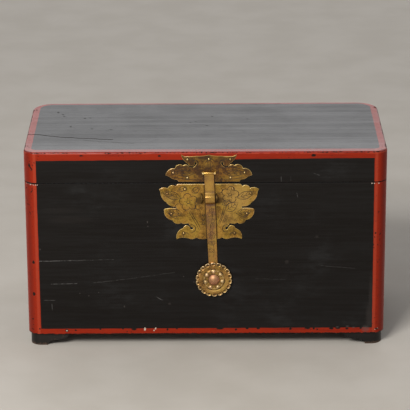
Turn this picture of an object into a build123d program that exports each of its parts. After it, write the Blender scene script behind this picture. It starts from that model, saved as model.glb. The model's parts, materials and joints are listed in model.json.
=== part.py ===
from build123d import *
import os
from math import atan2, cos, dist, isclose, radians, sin, tan

# A lacquered lift-top chest: a dovetailed body on four bracket feet, a lid hinged along the back,
# scalloped brass lock plates on the front, and a long hasp that hangs from the lid.
# X runs along the front, Y from front to back and Z up from the floor.
# The origin is on the floor, under the middle of the space that the whole chest takes up.

# ---- the wooden case -------------------------------------------------------------------------------
chest_width = 800.0
chest_depth = 380.0
body_height = 357.0  # from the underside of the body up to the seam
lid_height = 71.0
seam_gap = 0.4
front_corner_radius = 29.0  # upright corners, in plan
back_corner_radius = 48.0
board_thickness = 20.0
lid_top_thickness = 14.0
floor_thickness = 12.0
floor_rebate = 6.0  # how far the floor board is let into each wall
floor_corner_radius = 15.0
lid_edge_radius = 5.0  # round-over along the top edge of the lid
seam_edge_radius = 1.2  # softened edges where the lid meets the body
least_corner_radius = 1.0  # what is left of a plan corner that would come out sharp
tail_pitch = 46.0  # spacing of the corner dovetails
tail_share = 0.56  # part of the pitch that a tail takes at its wide end
tail_slope = 10.0  # degrees

# ---- the bracket feet ------------------------------------------------------------------------------
foot_height = 28.0
foot_inset = 5.0  # set back from the faces of the body
foot_thickness = 20.0
foot_pad = 38.0  # length that stands on the floor, from the corner
foot_reach = 88.0  # length under the body, from the corner

# ---- brass fittings on the front -------------------------------------------------------------------
fittings_offset = 7.5  # the fittings sit a little to the right of the middle
plate_thickness = 1.2
lid_plate_width = 190.0
lid_plate_height = 63.0
lid_plate_rise = 2.6  # bottom edge above the seam
body_plate_width = 220.0
body_plate_height = 129.5
body_plate_drop = 2.2  # top edge below the seam
nail_head_radius = 2.7
nail_head_height = 1.7
nail_shank_radius = 0.9
nail_length = 14.0

# ---- the hasp --------------------------------------------------------------------------------------
strap_thickness = 2.0
strap_width_top = 21.4
strap_width_end = 19.5
strap_gap = 0.4  # between the strap and the plates behind it
strap_length = 249.0  # from the hinge pin to the middle of the rosette
strap_lean = 2.3  # degrees that the strap is bent to the right
hump_drop = 59.3  # from the hinge pin to the middle of the hump
hump_face = 13.0  # height of its flat front
hump_run = 6.8  # height that each of its slopes takes
hump_rise = 8.0
hump_bend_radius = 1.2
pin_radius = 1.3
pin_clearance = 0.05
barrel_rise = 23.6  # from the seam to the hinge pin
eye_thickness = 3.6
eye_gap = 0.35  # between the strap's knuckle and each eye
eye_shank_height = 4.0
leg_thickness = 1.2  # clenched legs inside the case
leg_spread = 7.0

# ---- the rosette at the end of the hasp ------------------------------------------------------------
rosette_radius = 40.5
petal_count = 18
petal_depth = 2.9  # from the tip of a petal in to the cleft beside it
rosette_rim_height = 2.0
rosette_band_height = 3.5
rosette_groove_height = 2.4
rosette_disc_height = 3.9
rosette_disc_radius = 23.0
groove_width = 3.6
petal_zone = 7.5  # width of the ring that the petals' hollows lie in
hollow_radius = 4.4
hollow_depth = 1.3
stud_count = 7
stud_radius = 3.5
stud_height = 2.8
stud_ring_radius = 18.9
stud_shank_radius = 1.1
boss_radius = 12.5
boss_height = 7.0
boss_shank_radius = 2.6
rivet_radius = 4.2
rivet_height = 0.8

# ---- the two lock ears -----------------------------------------------------------------------------
ear_spacing = 33.0  # between the middles of the two ears
ear_thickness = 3.0
ear_height = 24.0
ear_projection = 10.6
lock_hole_radius = 3.2
lock_hole_out = 4.6  # from the plate to the middle of the hole
ear_shank_height = 6.0

# ---- the two hinges on the back --------------------------------------------------------------------
hinge_spacing = 470.0
leaf_width = 58.0
leaf_height = 42.0
leaf_thickness = 1.2
knuckle_length = 14.0
knuckle_wall = 1.4
knuckle_gap = 0.3
hinge_pin_radius = 1.6
hinge_pin_head_radius = 2.0
hinge_pin_head_length = 1.0
body_knuckles = (-1, 1)  # places along the pin, counted in knuckle lengths from the middle
lid_knuckles = (0,)

# Scalloped outlines.  A row is a point as shares of the half width and of the height, then how far the
# stretch that ends there bows outwards, as a share of its chord.  Rows run clockwise down the right half.
lid_outline_shares = [
    (0.000, 0.984, 0),
    (0.284, 0.944, -0.04),
    (0.495, 0.933, -0.03),
    (0.639, 1.000, -0.12),  # tip of the horn
    (0.542, 0.735, 0.11),
    (0.489, 0.679, 0.15),
    (0.325, 0.640, 0.355),
    (0.297, 0.635, -1.86),  # round the eye at the end of the slit
    (0.468, 0.587, -0.30),
    (0.595, 0.600, 0.20),
    (0.789, 0.492, 0.27),
    (1.000, 0.235, 0.22),  # tip of the wing
    (0.905, 0.179, -0.03),
    (0.742, 0.073, 0.10),
    (0.705, 0.000, -0.08),
    (0.000, 0.000, 0),
]
body_outline_shares = [
    (0.000, 1.000, 0),
    (0.614, 1.000, 0),
    (0.668, 0.959, 0.15),
    (0.824, 0.924, 0.27),
    (1.000, 0.903, 0.15),  # tip of the upper wing
    (0.973, 0.849, -0.08),
    (0.855, 0.671, 0.13),
    (0.668, 0.595, 0.15),
    (0.677, 0.566, -0.50),  # bottom of the side notch
    (0.882, 0.557, 0.04),
    (0.905, 0.521, 0.20),
    (0.736, 0.349, 0.20),
    (0.564, 0.299, 0.25),
    (0.423, 0.295, 0.14),
    (0.362, 0.224, 0),
    (0.379, 0.208, -2.05),  # round the eye at the end of the slit
    (0.527, 0.201, 0.40),
    (0.653, 0.005, 0.21),  # tip of the lower wing
    (0.409, 0.015, -0.11),
    (0.264, 0.030, 0.14),
    (0.000, 0.023, 0.10),
]
# The lower edge of a foot's wing, as shares of the way from pad to wing tip and of the foot's height.
foot_curve_shares = [(0.0, 0.0), (0.05, 0.20), (0.18, 0.32), (0.46, 0.44), (0.84, 0.64), (1.0, 1.0)]
leaf_outline_shares = [
    (0.00, 1.00, 0),
    (0.26, 0.78, -0.14),
    (0.72, 0.58, 0.34),
    (1.00, 0.14, 0.28),
    (0.84, 0.00, 0.20),
    (0.00, 0.00, 0),
]
# Nails on the right half, as shares of the half width and of the height; the left half repeats them.
lid_nail_shares = [(0.0, 0.824), (0.493, 0.816), (0.825, 0.33), (0.50, 0.144)]
body_nail_shares = [(0.477, 0.905), (0.836, 0.828), (0.758, 0.469), (0.513, 0.112)]
leaf_nail_shares = [(0.0, 0.66), (0.66, 0.32)]

# ---- places worked out from the sizes --------------------------------------------------------------
body_top = foot_height + body_height
lid_bottom = body_top + seam_gap
lid_top_seat = body_top + lid_height - lid_top_thickness
lid_top = body_top + lid_height

strap_out = plate_thickness + strap_gap
knuckle_radius = pin_radius + pin_clearance + strap_thickness
pin_out = strap_out + knuckle_radius
pin_height = body_top + barrel_rise
rosette_out = strap_out + strap_thickness
boss_out = rosette_out + rosette_disc_height

hinge_knuckle_radius = hinge_pin_radius + knuckle_wall
hinge_axis_out = knuckle_gap + hinge_knuckle_radius
hinge_axis_height = body_top + seam_gap / 2

front_reach = max(boss_out + boss_height, plate_thickness + ear_projection,
                  strap_out + hump_rise + strap_thickness, pin_out + knuckle_radius)
back_reach = hinge_axis_out + hinge_knuckle_radius
case_y = (front_reach - back_reach) / 2  # puts the origin midway between hasp and hinges
front_y = case_y - chest_depth / 2
back_y = case_y + chest_depth / 2

# On the front, x is measured from the middle of the fittings, y is the height above the floor and
# z points out of the wood.  On the back, each hinge has such a frame at its own pin.
front = Plane(origin=(fittings_offset, front_y, 0), x_dir=(1, 0, 0), z_dir=(0, -1, 0))
barrel = front * Pos(0, pin_height, 0)
hasp = barrel * Rot(0, 0, strap_lean)
rosette_seat = hasp * Pos(0, -strap_length, rosette_out)


def hinge_frame(side):
    """The frame of one back hinge: side is -1 for the left one, 1 for the right one."""
    origin = (side * hinge_spacing / 2, back_y, hinge_axis_height)
    return Plane(origin=origin, x_dir=(-1, 0, 0), z_dir=(0, 1, 0))


# ---- shapes that more than one piece uses ----------------------------------------------------------
def slab(x, y, z):
    """A box between pairs of limits along each axis."""
    sizes = [high - low for low, high in (x, y, z)]
    return Pos(x[0], y[0], z[0]) * Box(*sizes, align=Align.MIN)


def rod(radius, length):
    """A cylinder along X, centred on the origin."""
    return Rot(0, 90, 0) * Cylinder(radius, length)


def dome(radius, height):
    """A cap of a ball, standing on the XY plane."""
    ball_radius = (radius**2 + height**2) / (2 * height)
    ball = Pos(0, 0, height - ball_radius) * Sphere(ball_radius)
    return ball & slab((-radius, radius), (-radius, radius), (0, height))


def scalloped_face(outline, width, height):
    """A face from the rows of an outline, with its left half mirrored from its right half."""
    points = [(x * width / 2, y * height) for x, y, bow in outline]
    half = Curve()
    for start, end, row in zip(points, points[1:], outline[1:]):
        if row[2] == 0:
            half += Line(start, end)
        else:
            half += SagittaArc(start, end, row[2] * dist(start, end))
    return make_face(half + mirror(half, Plane.YZ))


def both_halves(places, width, height):
    """Points from shares of the half width and height, each one repeated on the left half."""
    right = [(x * width / 2, y * height) for x, y in places]
    left = [(-x, y) for x, y in right if x > 0]
    return right + left


def nail_shank():
    """A nail's shank below the XY plane, which is also the hole that it fills."""
    return Cylinder(nail_shank_radius, nail_length, align=(Align.CENTER, Align.CENTER, Align.MAX))


def nail():
    """A domed brass nail, its head standing on the XY plane."""
    return dome(nail_head_radius, nail_head_height) + nail_shank()


def clenched_shank(thickness, height, top):
    """A shank through the front board, with its two legs spread flat against the inside.

    It starts at the distance top from the wood and runs inwards along -Z."""
    shank = slab((-thickness / 2, thickness / 2), (-height / 2, height / 2), (-board_thickness, top))
    leg_reach = height / 2 + leg_spread
    legs = slab((-thickness / 2, thickness / 2), (-leg_reach, leg_reach),
                (-board_thickness - leg_thickness, -board_thickness))
    return shank + legs


def shank_slot(thickness, height):
    """The slot that a shank passes through, in the plate and the front board."""
    half_x, half_y = thickness / 2, height / 2
    return slab((-half_x, half_x), (-half_y, half_y), (-board_thickness, plate_thickness))


# ---- the case --------------------------------------------------------------------------------------
def case_block(z_low, z_high):
    """The outside of the case between two heights.  Its back corners are rounder than its front ones."""
    plan = Rectangle(chest_width, chest_depth)
    plan = fillet(plan.vertices().group_by(Axis.Y)[0], front_corner_radius)
    plan = fillet(plan.vertices().group_by(Axis.Y)[-1], back_corner_radius)
    return Pos(0, case_y, z_low) * extrude(plan, z_high - z_low)


def wall_ring(z_low, z_high):
    """The four walls between two heights, before they are parted into boards."""
    room = Box(chest_width - 2 * board_thickness, chest_depth - 2 * board_thickness, z_high - z_low,
               align=(Align.CENTER, Align.CENTER, Align.MIN))
    return case_block(z_low, z_high) - Pos(0, case_y, z_low) * room


def corner_tails(x_side, z_low, z_high):
    """Dovetail prisms of one end board: wide at the front and back faces, narrow further in."""
    count = max(2, round((z_high - z_low) / tail_pitch))
    pitch = (z_high - z_low) / count
    wide = tail_share * pitch / 2
    narrow = wide - board_thickness * tan(radians(tail_slope))
    x_outer = x_side * chest_width / 2
    x_inner = x_side * (chest_width / 2 - board_thickness)
    tails = []
    for y_face, inwards in ((front_y, 1), (back_y, -1)):
        y_root = y_face + inwards * board_thickness
        for index in range(count):
            z = z_low + (index + 0.5) * pitch
            corners = [(y_face, z - wide), (y_root, z - narrow), (y_root, z + narrow), (y_face, z + wide)]
            outline = Polyline(*[(x_inner, y, height) for y, height in corners], close=True)
            tails.append(extrude(make_face(outline), amount=board_thickness, dir=(x_outer, 0, 0)))
    return tails


def boards(ring, z_low, z_high):
    """The ring of walls parted at its dovetails: front, back, left and right board."""
    heights = (z_low, z_high)
    half = chest_width / 2
    front_root = front_y + board_thickness
    back_root = back_y - board_thickness
    left_tails = corner_tails(-1, z_low, z_high)
    right_tails = corner_tails(1, z_low, z_high)
    tails = left_tails + right_tails
    front_board = (ring & slab((-half, half), (front_y, front_root), heights)) - tails
    back_board = (ring & slab((-half, half), (back_root, back_y), heights)) - tails
    left_zone = slab((-half, -half + board_thickness), (front_root, back_root), heights) + left_tails
    right_zone = slab((half - board_thickness, half), (front_root, back_root), heights) + right_tails
    return front_board, back_board, ring & left_zone, ring & right_zone


def outer_edges(part, height):
    """The edges round the outside of the case at one height, without those round its room."""
    room_x = chest_width / 2 - board_thickness
    room_y = chest_depth / 2 - board_thickness
    kept = []
    for edge in part.edges().filter_by_position(Axis.Z, height, height):
        middle = edge.center()
        at_end = isclose(abs(middle.X), room_x, rel_tol=1e-6)
        at_front_or_back = isclose(abs(middle.Y - case_y), room_y, rel_tol=1e-6)
        if not (at_end or at_front_or_back):
            kept.append(edge)
    return kept


def foot(x_side, y_side):
    """One bracket foot: an L of wood under a corner, each wing cut to a curve below."""
    wing_length = foot_reach - foot_pad
    wing = [(foot_pad + x * wing_length, z * foot_height) for x, z in foot_curve_shares]
    profile = make_face(Polyline(wing[-1], (0, foot_height), (0, 0), wing[0]) + Spline(*wing))
    case_radius = front_corner_radius if y_side < 0 else back_corner_radius
    plan_radius = max(case_radius - foot_inset, least_corner_radius)
    block = RectangleRounded(2 * foot_reach, 2 * foot_reach, plan_radius)
    block = Pos(foot_reach, foot_reach) * extrude(block, foot_height)
    along_x = extrude(Plane.XZ * profile, -foot_thickness)
    along_y = extrude(Plane.YZ * profile, foot_thickness)
    bracket = block & (along_x + along_y)
    if x_side > 0:
        bracket = mirror(bracket, Plane.YZ)
    if y_side > 0:
        bracket = mirror(bracket, Plane.XZ)
    corner_x = x_side * (chest_width / 2 - foot_inset)
    corner_y = case_y + y_side * (chest_depth / 2 - foot_inset)
    return Pos(corner_x, corner_y, 0) * bracket


# ---- the brass fittings ----------------------------------------------------------------------------
def lock_ear():
    """A D-shaped ear on the plate, pierced for the bar of a padlock, with its shank and legs."""
    half = ear_height / 2
    rim = ThreePointArc((0, -half, 0), (0, 0, ear_projection), (0, half, 0))
    base = Line((0, half, 0), (0, -half, 0))
    lug = extrude(make_face(rim + base), amount=ear_thickness / 2, dir=(1, 0, 0), both=True)
    hole = Pos(0, 0, lock_hole_out) * rod(lock_hole_radius, 2 * ear_thickness)
    lug = Pos(0, 0, plate_thickness) * (lug - hole)
    return lug + clenched_shank(ear_thickness, ear_shank_height, plate_thickness)


def hasp_eye():
    """A ring that holds the hinge pin of the hasp, with its shank and legs."""
    ring = Pos(0, 0, pin_out) * rod(knuckle_radius, eye_thickness)
    shank = clenched_shank(eye_thickness, eye_shank_height, pin_out)
    return ring + shank - Pos(0, 0, pin_out) * rod(pin_radius, 2 * eye_thickness)


def strap_bar():
    """The flat bar of the hasp seen from its pin: a hump over the padlock bar, then a rounded end."""
    mitre = strap_thickness * tan(atan2(hump_rise, hump_run) / 2)
    back, face = strap_out, strap_out + strap_thickness
    back_top, face_top = back + hump_rise, face + hump_rise
    hump_top = -hump_drop + hump_face / 2
    hump_foot = -hump_drop - hump_face / 2
    end = -strap_length - strap_width_end
    inner, outer = hump_bend_radius, hump_bend_radius + strap_thickness
    side_view = [
        (0, face, 0), (hump_top + hump_run, face, inner), (hump_top, face_top, outer),
        (hump_foot, face_top, outer), (hump_foot - hump_run, face, inner), (end, face, 0),
        (end, back, 0), (hump_foot - hump_run + mitre, back, outer), (hump_foot + mitre, back_top, inner),
        (hump_top - mitre, back_top, inner), (hump_top + hump_run - mitre, back, outer), (0, back, 0),
    ]
    corners = [(down, out) for down, out, radius in side_view]
    radii = [radius for down, out, radius in side_view]
    profile = make_face(FilletPolyline(*corners, radius=radii, close=True))
    bar = extrude(Plane.YZ * profile, strap_width_top, both=True)
    half_top, half_end = strap_width_top / 2, strap_width_end / 2
    taper = make_face(Polyline((-half_top, 0), (half_top, 0), (half_end, -strap_length),
                               (-half_end, -strap_length), close=True))
    front_view = taper + Pos(0, -strap_length) * Circle(half_end)
    boss_hole = Pos(0, -strap_length, 0) * Cylinder(boss_shank_radius, 2 * face_top)
    return (bar & extrude(front_view, face_top)) - boss_hole


def hasp_strap():
    """The whole strap: its knuckle stays level, and the bar below it leans to one side."""
    knuckle = Pos(0, 0, pin_out) * rod(knuckle_radius, strap_width_top)
    bore = Pos(0, 0, pin_out) * rod(pin_radius + pin_clearance, 2 * strap_width_top)
    return knuckle + Rot(0, 0, strap_lean) * strap_bar() - bore


def hasp_pin():
    """The hinge pin of the hasp, as long as the knuckle and both eyes."""
    length = strap_width_top + 2 * (eye_gap + eye_thickness)
    return Pos(0, 0, pin_out) * rod(pin_radius, length)


def ring_places(radius, count, start):
    """Points spaced evenly round a circle, the first one at an angle in degrees."""
    angles = [radians(start + 360 * index / count) for index in range(count)]
    return [(radius * cos(angle), radius * sin(angle)) for angle in angles]


def rosette():
    """A chrysanthemum disc: a raised middle, a groove, a rounded band and a ring of hollowed petals."""
    groove_middle = rosette_disc_radius + groove_width / 2
    groove_end = rosette_disc_radius + groove_width
    band_end = rosette_radius - petal_zone
    section = Polyline(
        (rosette_radius, rosette_rim_height), (rosette_radius, 0), (0, 0), (0, rosette_disc_height),
        (rosette_disc_radius, rosette_disc_height), (groove_middle, rosette_groove_height),
        (groove_end, rosette_band_height))
    section += ThreePointArc((groove_end, rosette_band_height), (band_end, rosette_band_height),
                             (rosette_radius, rosette_rim_height))
    disc = revolve(Plane.XZ * make_face(section), Axis.Z)

    half_step = 180 / petal_count
    cleft_radius = rosette_radius - petal_depth
    petal_bow = rosette_radius - cleft_radius * cos(radians(half_step))
    clefts = ring_places(cleft_radius, petal_count, 90 + half_step)
    edge = Curve()
    for start, end in zip(clefts, clefts[1:] + clefts[:1]):
        edge += SagittaArc(start, end, -petal_bow)
    disc = disc & extrude(make_face(edge), rosette_disc_height)

    ball_radius = (hollow_radius**2 + hollow_depth**2) / (2 * hollow_depth)
    ball_height = rosette_band_height - hollow_depth + ball_radius
    ring = ring_places(rosette_radius - petal_zone + hollow_radius / 2, petal_count, 90)
    hollows = [Pos(x, y, ball_height) * Sphere(ball_radius) for x, y in ring]
    holes = [Pos(x, y, 0) * Cylinder(stud_shank_radius, 3 * rosette_disc_height) for x, y in stud_places()]
    holes.append(Cylinder(boss_shank_radius, 3 * rosette_disc_height))
    return disc - hollows - holes


def stud_places():
    """Where the studs stand round the boss of the rosette."""
    return ring_places(stud_ring_radius, stud_count, 90)


def rosette_stud():
    """A round-headed stud on the raised middle of the rosette, with its shank down to the back."""
    shank = Cylinder(stud_shank_radius, rosette_disc_height, align=(Align.CENTER, Align.CENTER, Align.MIN))
    return shank + Pos(0, 0, rosette_disc_height) * dome(stud_radius, stud_height)


def rosette_boss():
    """The copper boss, riveted through the rosette and the end of the strap."""
    head = Pos(0, 0, rosette_disc_height) * dome(boss_radius, boss_height)
    shank_length = rivet_height + strap_thickness + rosette_disc_height
    upwards = (Align.CENTER, Align.CENTER, Align.MIN)
    shank = Cylinder(boss_shank_radius, shank_length, align=upwards)
    rivet = Cylinder(rivet_radius, rivet_height, align=upwards)
    return head + Pos(0, 0, -strap_thickness - rivet_height) * (shank + rivet)


def hinge_leaf(own_knuckles, other_knuckles):
    """A leaf above its pin, with its own knuckles and notches round those of the other leaf."""
    sheet = extrude(scalloped_face(leaf_outline_shares, leaf_width, leaf_height), leaf_thickness)
    half_gap = seam_gap / 2
    sheet -= slab((-leaf_width, leaf_width), (-half_gap, half_gap), (0, leaf_thickness))
    for place in other_knuckles:
        middle = place * knuckle_length
        half = (knuckle_length + knuckle_gap) / 2
        sheet -= slab((middle - half, middle + half), (0, hinge_axis_out), (0, leaf_thickness))
    for place in own_knuckles:
        barrel_piece = rod(hinge_knuckle_radius, knuckle_length - knuckle_gap)
        sheet += Pos(place * knuckle_length, 0, hinge_axis_out) * barrel_piece
    return sheet


def hinge_pin():
    """The pin of a back hinge, with a flat head at each end."""
    half = (max(body_knuckles) + 0.5) * knuckle_length - knuckle_gap / 2
    pin = rod(hinge_pin_radius, 2 * half)
    for side in (-1, 1):
        head = rod(hinge_pin_head_radius, hinge_pin_head_length)
        pin += Pos(side * (half + hinge_pin_head_length / 2), 0, 0) * head
    return Pos(0, 0, hinge_axis_out) * pin


# ---- the assembly ----------------------------------------------------------------------------------
def save(name, *solids):
    """Write one node to its own file; fasteners of a kind share a node as a group of solids."""
    shape = solids[0] if len(solids) == 1 else Compound(children=list(solids))
    export_step(shape, f"parts/{name}.step")


os.makedirs("parts", exist_ok=True)

# Places of the fittings on the front, in the front's frame.
lid_plate_seat = front * Pos(0, lid_bottom + lid_plate_rise, 0)
body_plate_seat = front * Pos(0, body_top - body_plate_drop - body_plate_height, 0)
lock_seats = [front * Pos(side * ear_spacing / 2, pin_height - hump_drop, 0) for side in (-1, 1)]
eye_x = strap_width_top / 2 + eye_gap + eye_thickness / 2
eye_seats = [barrel * Pos(side * eye_x, 0, 0) for side in (-1, 1)]
lid_nail_seats = [lid_plate_seat * Pos(x, y, plate_thickness)
                  for x, y in both_halves(lid_nail_shares, lid_plate_width, lid_plate_height)]
body_nail_seats = [body_plate_seat * Pos(x, y, plate_thickness)
                   for x, y in both_halves(body_nail_shares, body_plate_width, body_plate_height)]
leaf_places = both_halves(leaf_nail_shares, leaf_width, leaf_height)
lid_hinge_seats = [hinge_frame(side) * Pos(x, y, leaf_thickness)
                   for side in (-1, 1) for x, y in leaf_places]
body_hinge_seats = [hinge_frame(side) * Pos(x, -y, leaf_thickness)
                    for side in (-1, 1) for x, y in leaf_places]

# The body: four dovetailed boards round a floor board, on four feet.
floor_plan = RectangleRounded(chest_width - 2 * (board_thickness - floor_rebate),
                              chest_depth - 2 * (board_thickness - floor_rebate), floor_corner_radius)
floor_board = Pos(0, case_y, foot_height) * extrude(floor_plan, floor_thickness)
body_ring = wall_ring(foot_height, body_top) - floor_board
body_ring = fillet(outer_edges(body_ring, body_top), seam_edge_radius)
body_front, body_back, body_left, body_right = boards(body_ring, foot_height, body_top)
body_front -= [seat * nail_shank() for seat in body_nail_seats]
body_front -= [seat * shank_slot(ear_thickness, ear_shank_height) for seat in lock_seats]
body_back -= [seat * nail_shank() for seat in body_hinge_seats]
save("body_front_board", body_front)
save("body_back_board", body_back)
save("body_left_end", body_left)
save("body_right_end", body_right)
save("body_floor_board", floor_board)
for y_side, y_name in ((-1, "front"), (1, "back")):
    for x_side, x_name in ((-1, "left"), (1, "right")):
        save(f"foot_{y_name}_{x_name}", foot(x_side, y_side))

# The lid: a top board over four dovetailed rims.
rim_ring = wall_ring(lid_bottom, lid_top_seat)
rim_ring = fillet(outer_edges(rim_ring, lid_bottom), seam_edge_radius)
lid_front, lid_back, lid_left, lid_right = boards(rim_ring, lid_bottom, lid_top_seat)
lid_front -= [seat * nail_shank() for seat in lid_nail_seats]
lid_front -= [seat * shank_slot(eye_thickness, eye_shank_height) for seat in eye_seats]
lid_back -= [seat * nail_shank() for seat in lid_hinge_seats]
lid_board = case_block(lid_top_seat, lid_top)
save("lid_top_board", fillet(outer_edges(lid_board, lid_top), lid_edge_radius))
save("lid_front_rim", lid_front)
save("lid_back_rim", lid_back)
save("lid_left_rim", lid_left)
save("lid_right_rim", lid_right)

# The plates on the front, their nails, the lock ears and the eyes of the hasp.
lid_plate = lid_plate_seat * extrude(
    scalloped_face(lid_outline_shares, lid_plate_width, lid_plate_height), plate_thickness)
lid_plate -= [seat * nail_shank() for seat in lid_nail_seats]
lid_plate -= [seat * shank_slot(eye_thickness, eye_shank_height) for seat in eye_seats]
body_plate = body_plate_seat * extrude(
    scalloped_face(body_outline_shares, body_plate_width, body_plate_height), plate_thickness)
body_plate -= [seat * nail_shank() for seat in body_nail_seats]
body_plate -= [seat * shank_slot(ear_thickness, ear_shank_height) for seat in lock_seats]
save("lid_lock_plate", lid_plate)
save("body_lock_plate", body_plate)
save("lid_plate_nails", *[seat * nail() for seat in lid_nail_seats])
save("body_plate_nails", *[seat * nail() for seat in body_nail_seats])
for name, lock_seat, eye_seat in zip(("left", "right"), lock_seats, eye_seats):
    save(f"lock_ear_{name}", lock_seat * lock_ear())
    save(f"hasp_eye_{name}", eye_seat * hasp_eye())

# The hasp and what is riveted to its end.
save("hasp_hinge_pin", barrel * hasp_pin())
save("hasp_strap", barrel * hasp_strap())
save("hasp_rosette", rosette_seat * rosette())
save("rosette_studs", *[rosette_seat * Pos(x, y, 0) * rosette_stud() for x, y in stud_places()])
save("rosette_boss", rosette_seat * rosette_boss())

# The two hinges on the back.
for side, name in ((-1, "left"), (1, "right")):
    frame = hinge_frame(side)
    bore = Pos(0, 0, hinge_axis_out) * rod(hinge_pin_radius, leaf_width)
    free_bore = Pos(0, 0, hinge_axis_out) * rod(hinge_pin_radius + pin_clearance, leaf_width)
    body_leaf = mirror(hinge_leaf(body_knuckles, lid_knuckles), Plane.XZ) - bore
    lid_leaf = hinge_leaf(lid_knuckles, body_knuckles) - free_bore
    lid_leaf -= [Pos(x, y, leaf_thickness) * nail_shank() for x, y in leaf_places]
    body_leaf -= [Pos(x, -y, leaf_thickness) * nail_shank() for x, y in leaf_places]
    save(f"hinge_{name}_lid_leaf", frame * lid_leaf)
    save(f"hinge_{name}_body_leaf", frame * body_leaf)
    save(f"hinge_{name}_pin", frame * hinge_pin())
save("lid_hinge_nails", *[seat * nail() for seat in lid_hinge_seats])
save("body_hinge_nails", *[seat * nail() for seat in body_hinge_seats])
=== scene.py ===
# %% [markdown]
# # A lacquered lift-top chest
# This lesson dresses a chest that has already been drawn as solid parts: a wooden body on four bracket
# feet, a lid hinged along its back, two scalloped brass plates and a long brass hasp that ends in a
# rosette.  The solid parts give every size and place.  Blender adds what the eye reads as age and work:
# lacquer with its streaks and chips, painted borders, engraved flowers, softened metal and tarnish.

# %% Load the parts and keep their box
import json
from math import cos, hypot, pi, radians, sin, sqrt, tau
from types import SimpleNamespace

import bmesh
import bpy
from mathutils import Matrix, Vector

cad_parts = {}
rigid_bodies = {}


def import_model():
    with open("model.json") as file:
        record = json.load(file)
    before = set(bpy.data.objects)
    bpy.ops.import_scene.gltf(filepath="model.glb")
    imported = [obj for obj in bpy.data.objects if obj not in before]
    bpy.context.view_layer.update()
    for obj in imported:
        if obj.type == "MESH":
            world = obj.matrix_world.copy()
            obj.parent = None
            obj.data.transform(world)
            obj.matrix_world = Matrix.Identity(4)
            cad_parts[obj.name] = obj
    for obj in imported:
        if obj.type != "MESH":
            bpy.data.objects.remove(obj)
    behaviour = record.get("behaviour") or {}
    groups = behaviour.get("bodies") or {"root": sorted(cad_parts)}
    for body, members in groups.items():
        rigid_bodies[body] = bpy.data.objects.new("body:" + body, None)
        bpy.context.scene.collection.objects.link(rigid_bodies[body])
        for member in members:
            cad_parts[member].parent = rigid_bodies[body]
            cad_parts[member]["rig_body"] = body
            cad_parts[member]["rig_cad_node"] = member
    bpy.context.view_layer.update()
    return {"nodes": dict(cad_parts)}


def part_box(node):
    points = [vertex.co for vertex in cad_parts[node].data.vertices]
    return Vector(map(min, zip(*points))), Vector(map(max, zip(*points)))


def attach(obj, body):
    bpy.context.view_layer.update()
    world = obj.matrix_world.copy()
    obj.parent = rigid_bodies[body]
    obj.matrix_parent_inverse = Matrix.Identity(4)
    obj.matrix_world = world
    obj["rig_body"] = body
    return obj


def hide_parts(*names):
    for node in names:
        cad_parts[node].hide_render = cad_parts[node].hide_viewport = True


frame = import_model()
MM = 0.001

# %% [markdown]
# ## The eye
# A camera far away with a long lens keeps upright lines nearly parallel, as in a sale catalogue.  It
# stands a little above head height, about six chest widths away, and looks down by about nineteen
# degrees, so that the lid and the front are both seen.

# %% The camera
CAMERA_PLACE = Vector((1.47, -4966.74, 1988.23)) * MM
LOOK_DOWN, TURN, TILT = 19.091, 0.035, -0.267  # degrees
LENS, SENSOR = 201.49, 36.0  # millimetres

bpy.ops.object.select_all(action="DESELECT")
bpy.ops.object.camera_add(location=CAMERA_PLACE)
camera = bpy.context.object
camera.data.sensor_width = SENSOR
camera.data.lens = LENS
camera.matrix_world = (
    Matrix.Translation(CAMERA_PLACE)
    @ Matrix.Rotation(radians(TURN), 4, "Z")
    @ Matrix.Rotation(radians(90 - LOOK_DOWN), 4, "X")
    @ Matrix.Rotation(radians(TILT), 4, "Z")
)
bpy.context.scene.camera = camera
print("camera lens:", round(camera.data.lens, 2), "mm")

# %% [markdown]
# ## Soft studio light
# Lacquer is a mirror with a dark back, so it shows whatever stands around it.  A pale room (the world)
# gives it something calm to show, one large lamp from the upper left shapes the brass, and a low, wide
# panel far behind the chest puts the grey sheen on the lid.  Together they stay at a plain level: a
# white card would come out just about white.

# %% Lamps, room and floor
ROOM_COLOUR, ROOM_STRENGTH = (0.97, 0.97, 1.0, 1), 0.42


def lamp(name, place, target, size, watts):
    """A square area lamp that faces a target."""
    bpy.ops.object.light_add(type="AREA", location=place)
    made = bpy.context.object
    made.name = name
    made.data.size = size
    made.data.energy = watts
    aim = Vector(target) - Vector(place)
    made.rotation_euler = aim.to_track_quat("-Z", "Y").to_euler()


lamp("key lamp", place=(-1.7, -3.6, 3.4), target=(0, 0, 0.25), size=1.8, watts=235)
lamp("back panel", place=(0.0, 5.5, 2.3), target=(0, 0, 0.45), size=5.0, watts=42)

world = bpy.data.worlds.new("pale room")
bpy.context.scene.world = world
world.use_nodes = True
world.node_tree.nodes["Background"].inputs["Color"].default_value = ROOM_COLOUR
world.node_tree.nodes["Background"].inputs["Strength"].default_value = ROOM_STRENGTH
bpy.context.scene.view_settings.view_transform = "Standard"

bpy.ops.mesh.primitive_plane_add(size=40)
floor = bpy.context.object
floor.name = "floor"
print("lamps, room and floor are in place")

# %% [markdown]
# ## Words for building materials
# A material is a tree of nodes.  A **field** stands for what a node puts out: a number, a place or a
# colour that varies over a surface.  Adding or multiplying fields puts the nodes for it in the tree, so
# that the recipes below read like sums.  The other helpers feed sockets, open a group with named
# sockets, and place a finished group in a material.

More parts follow.
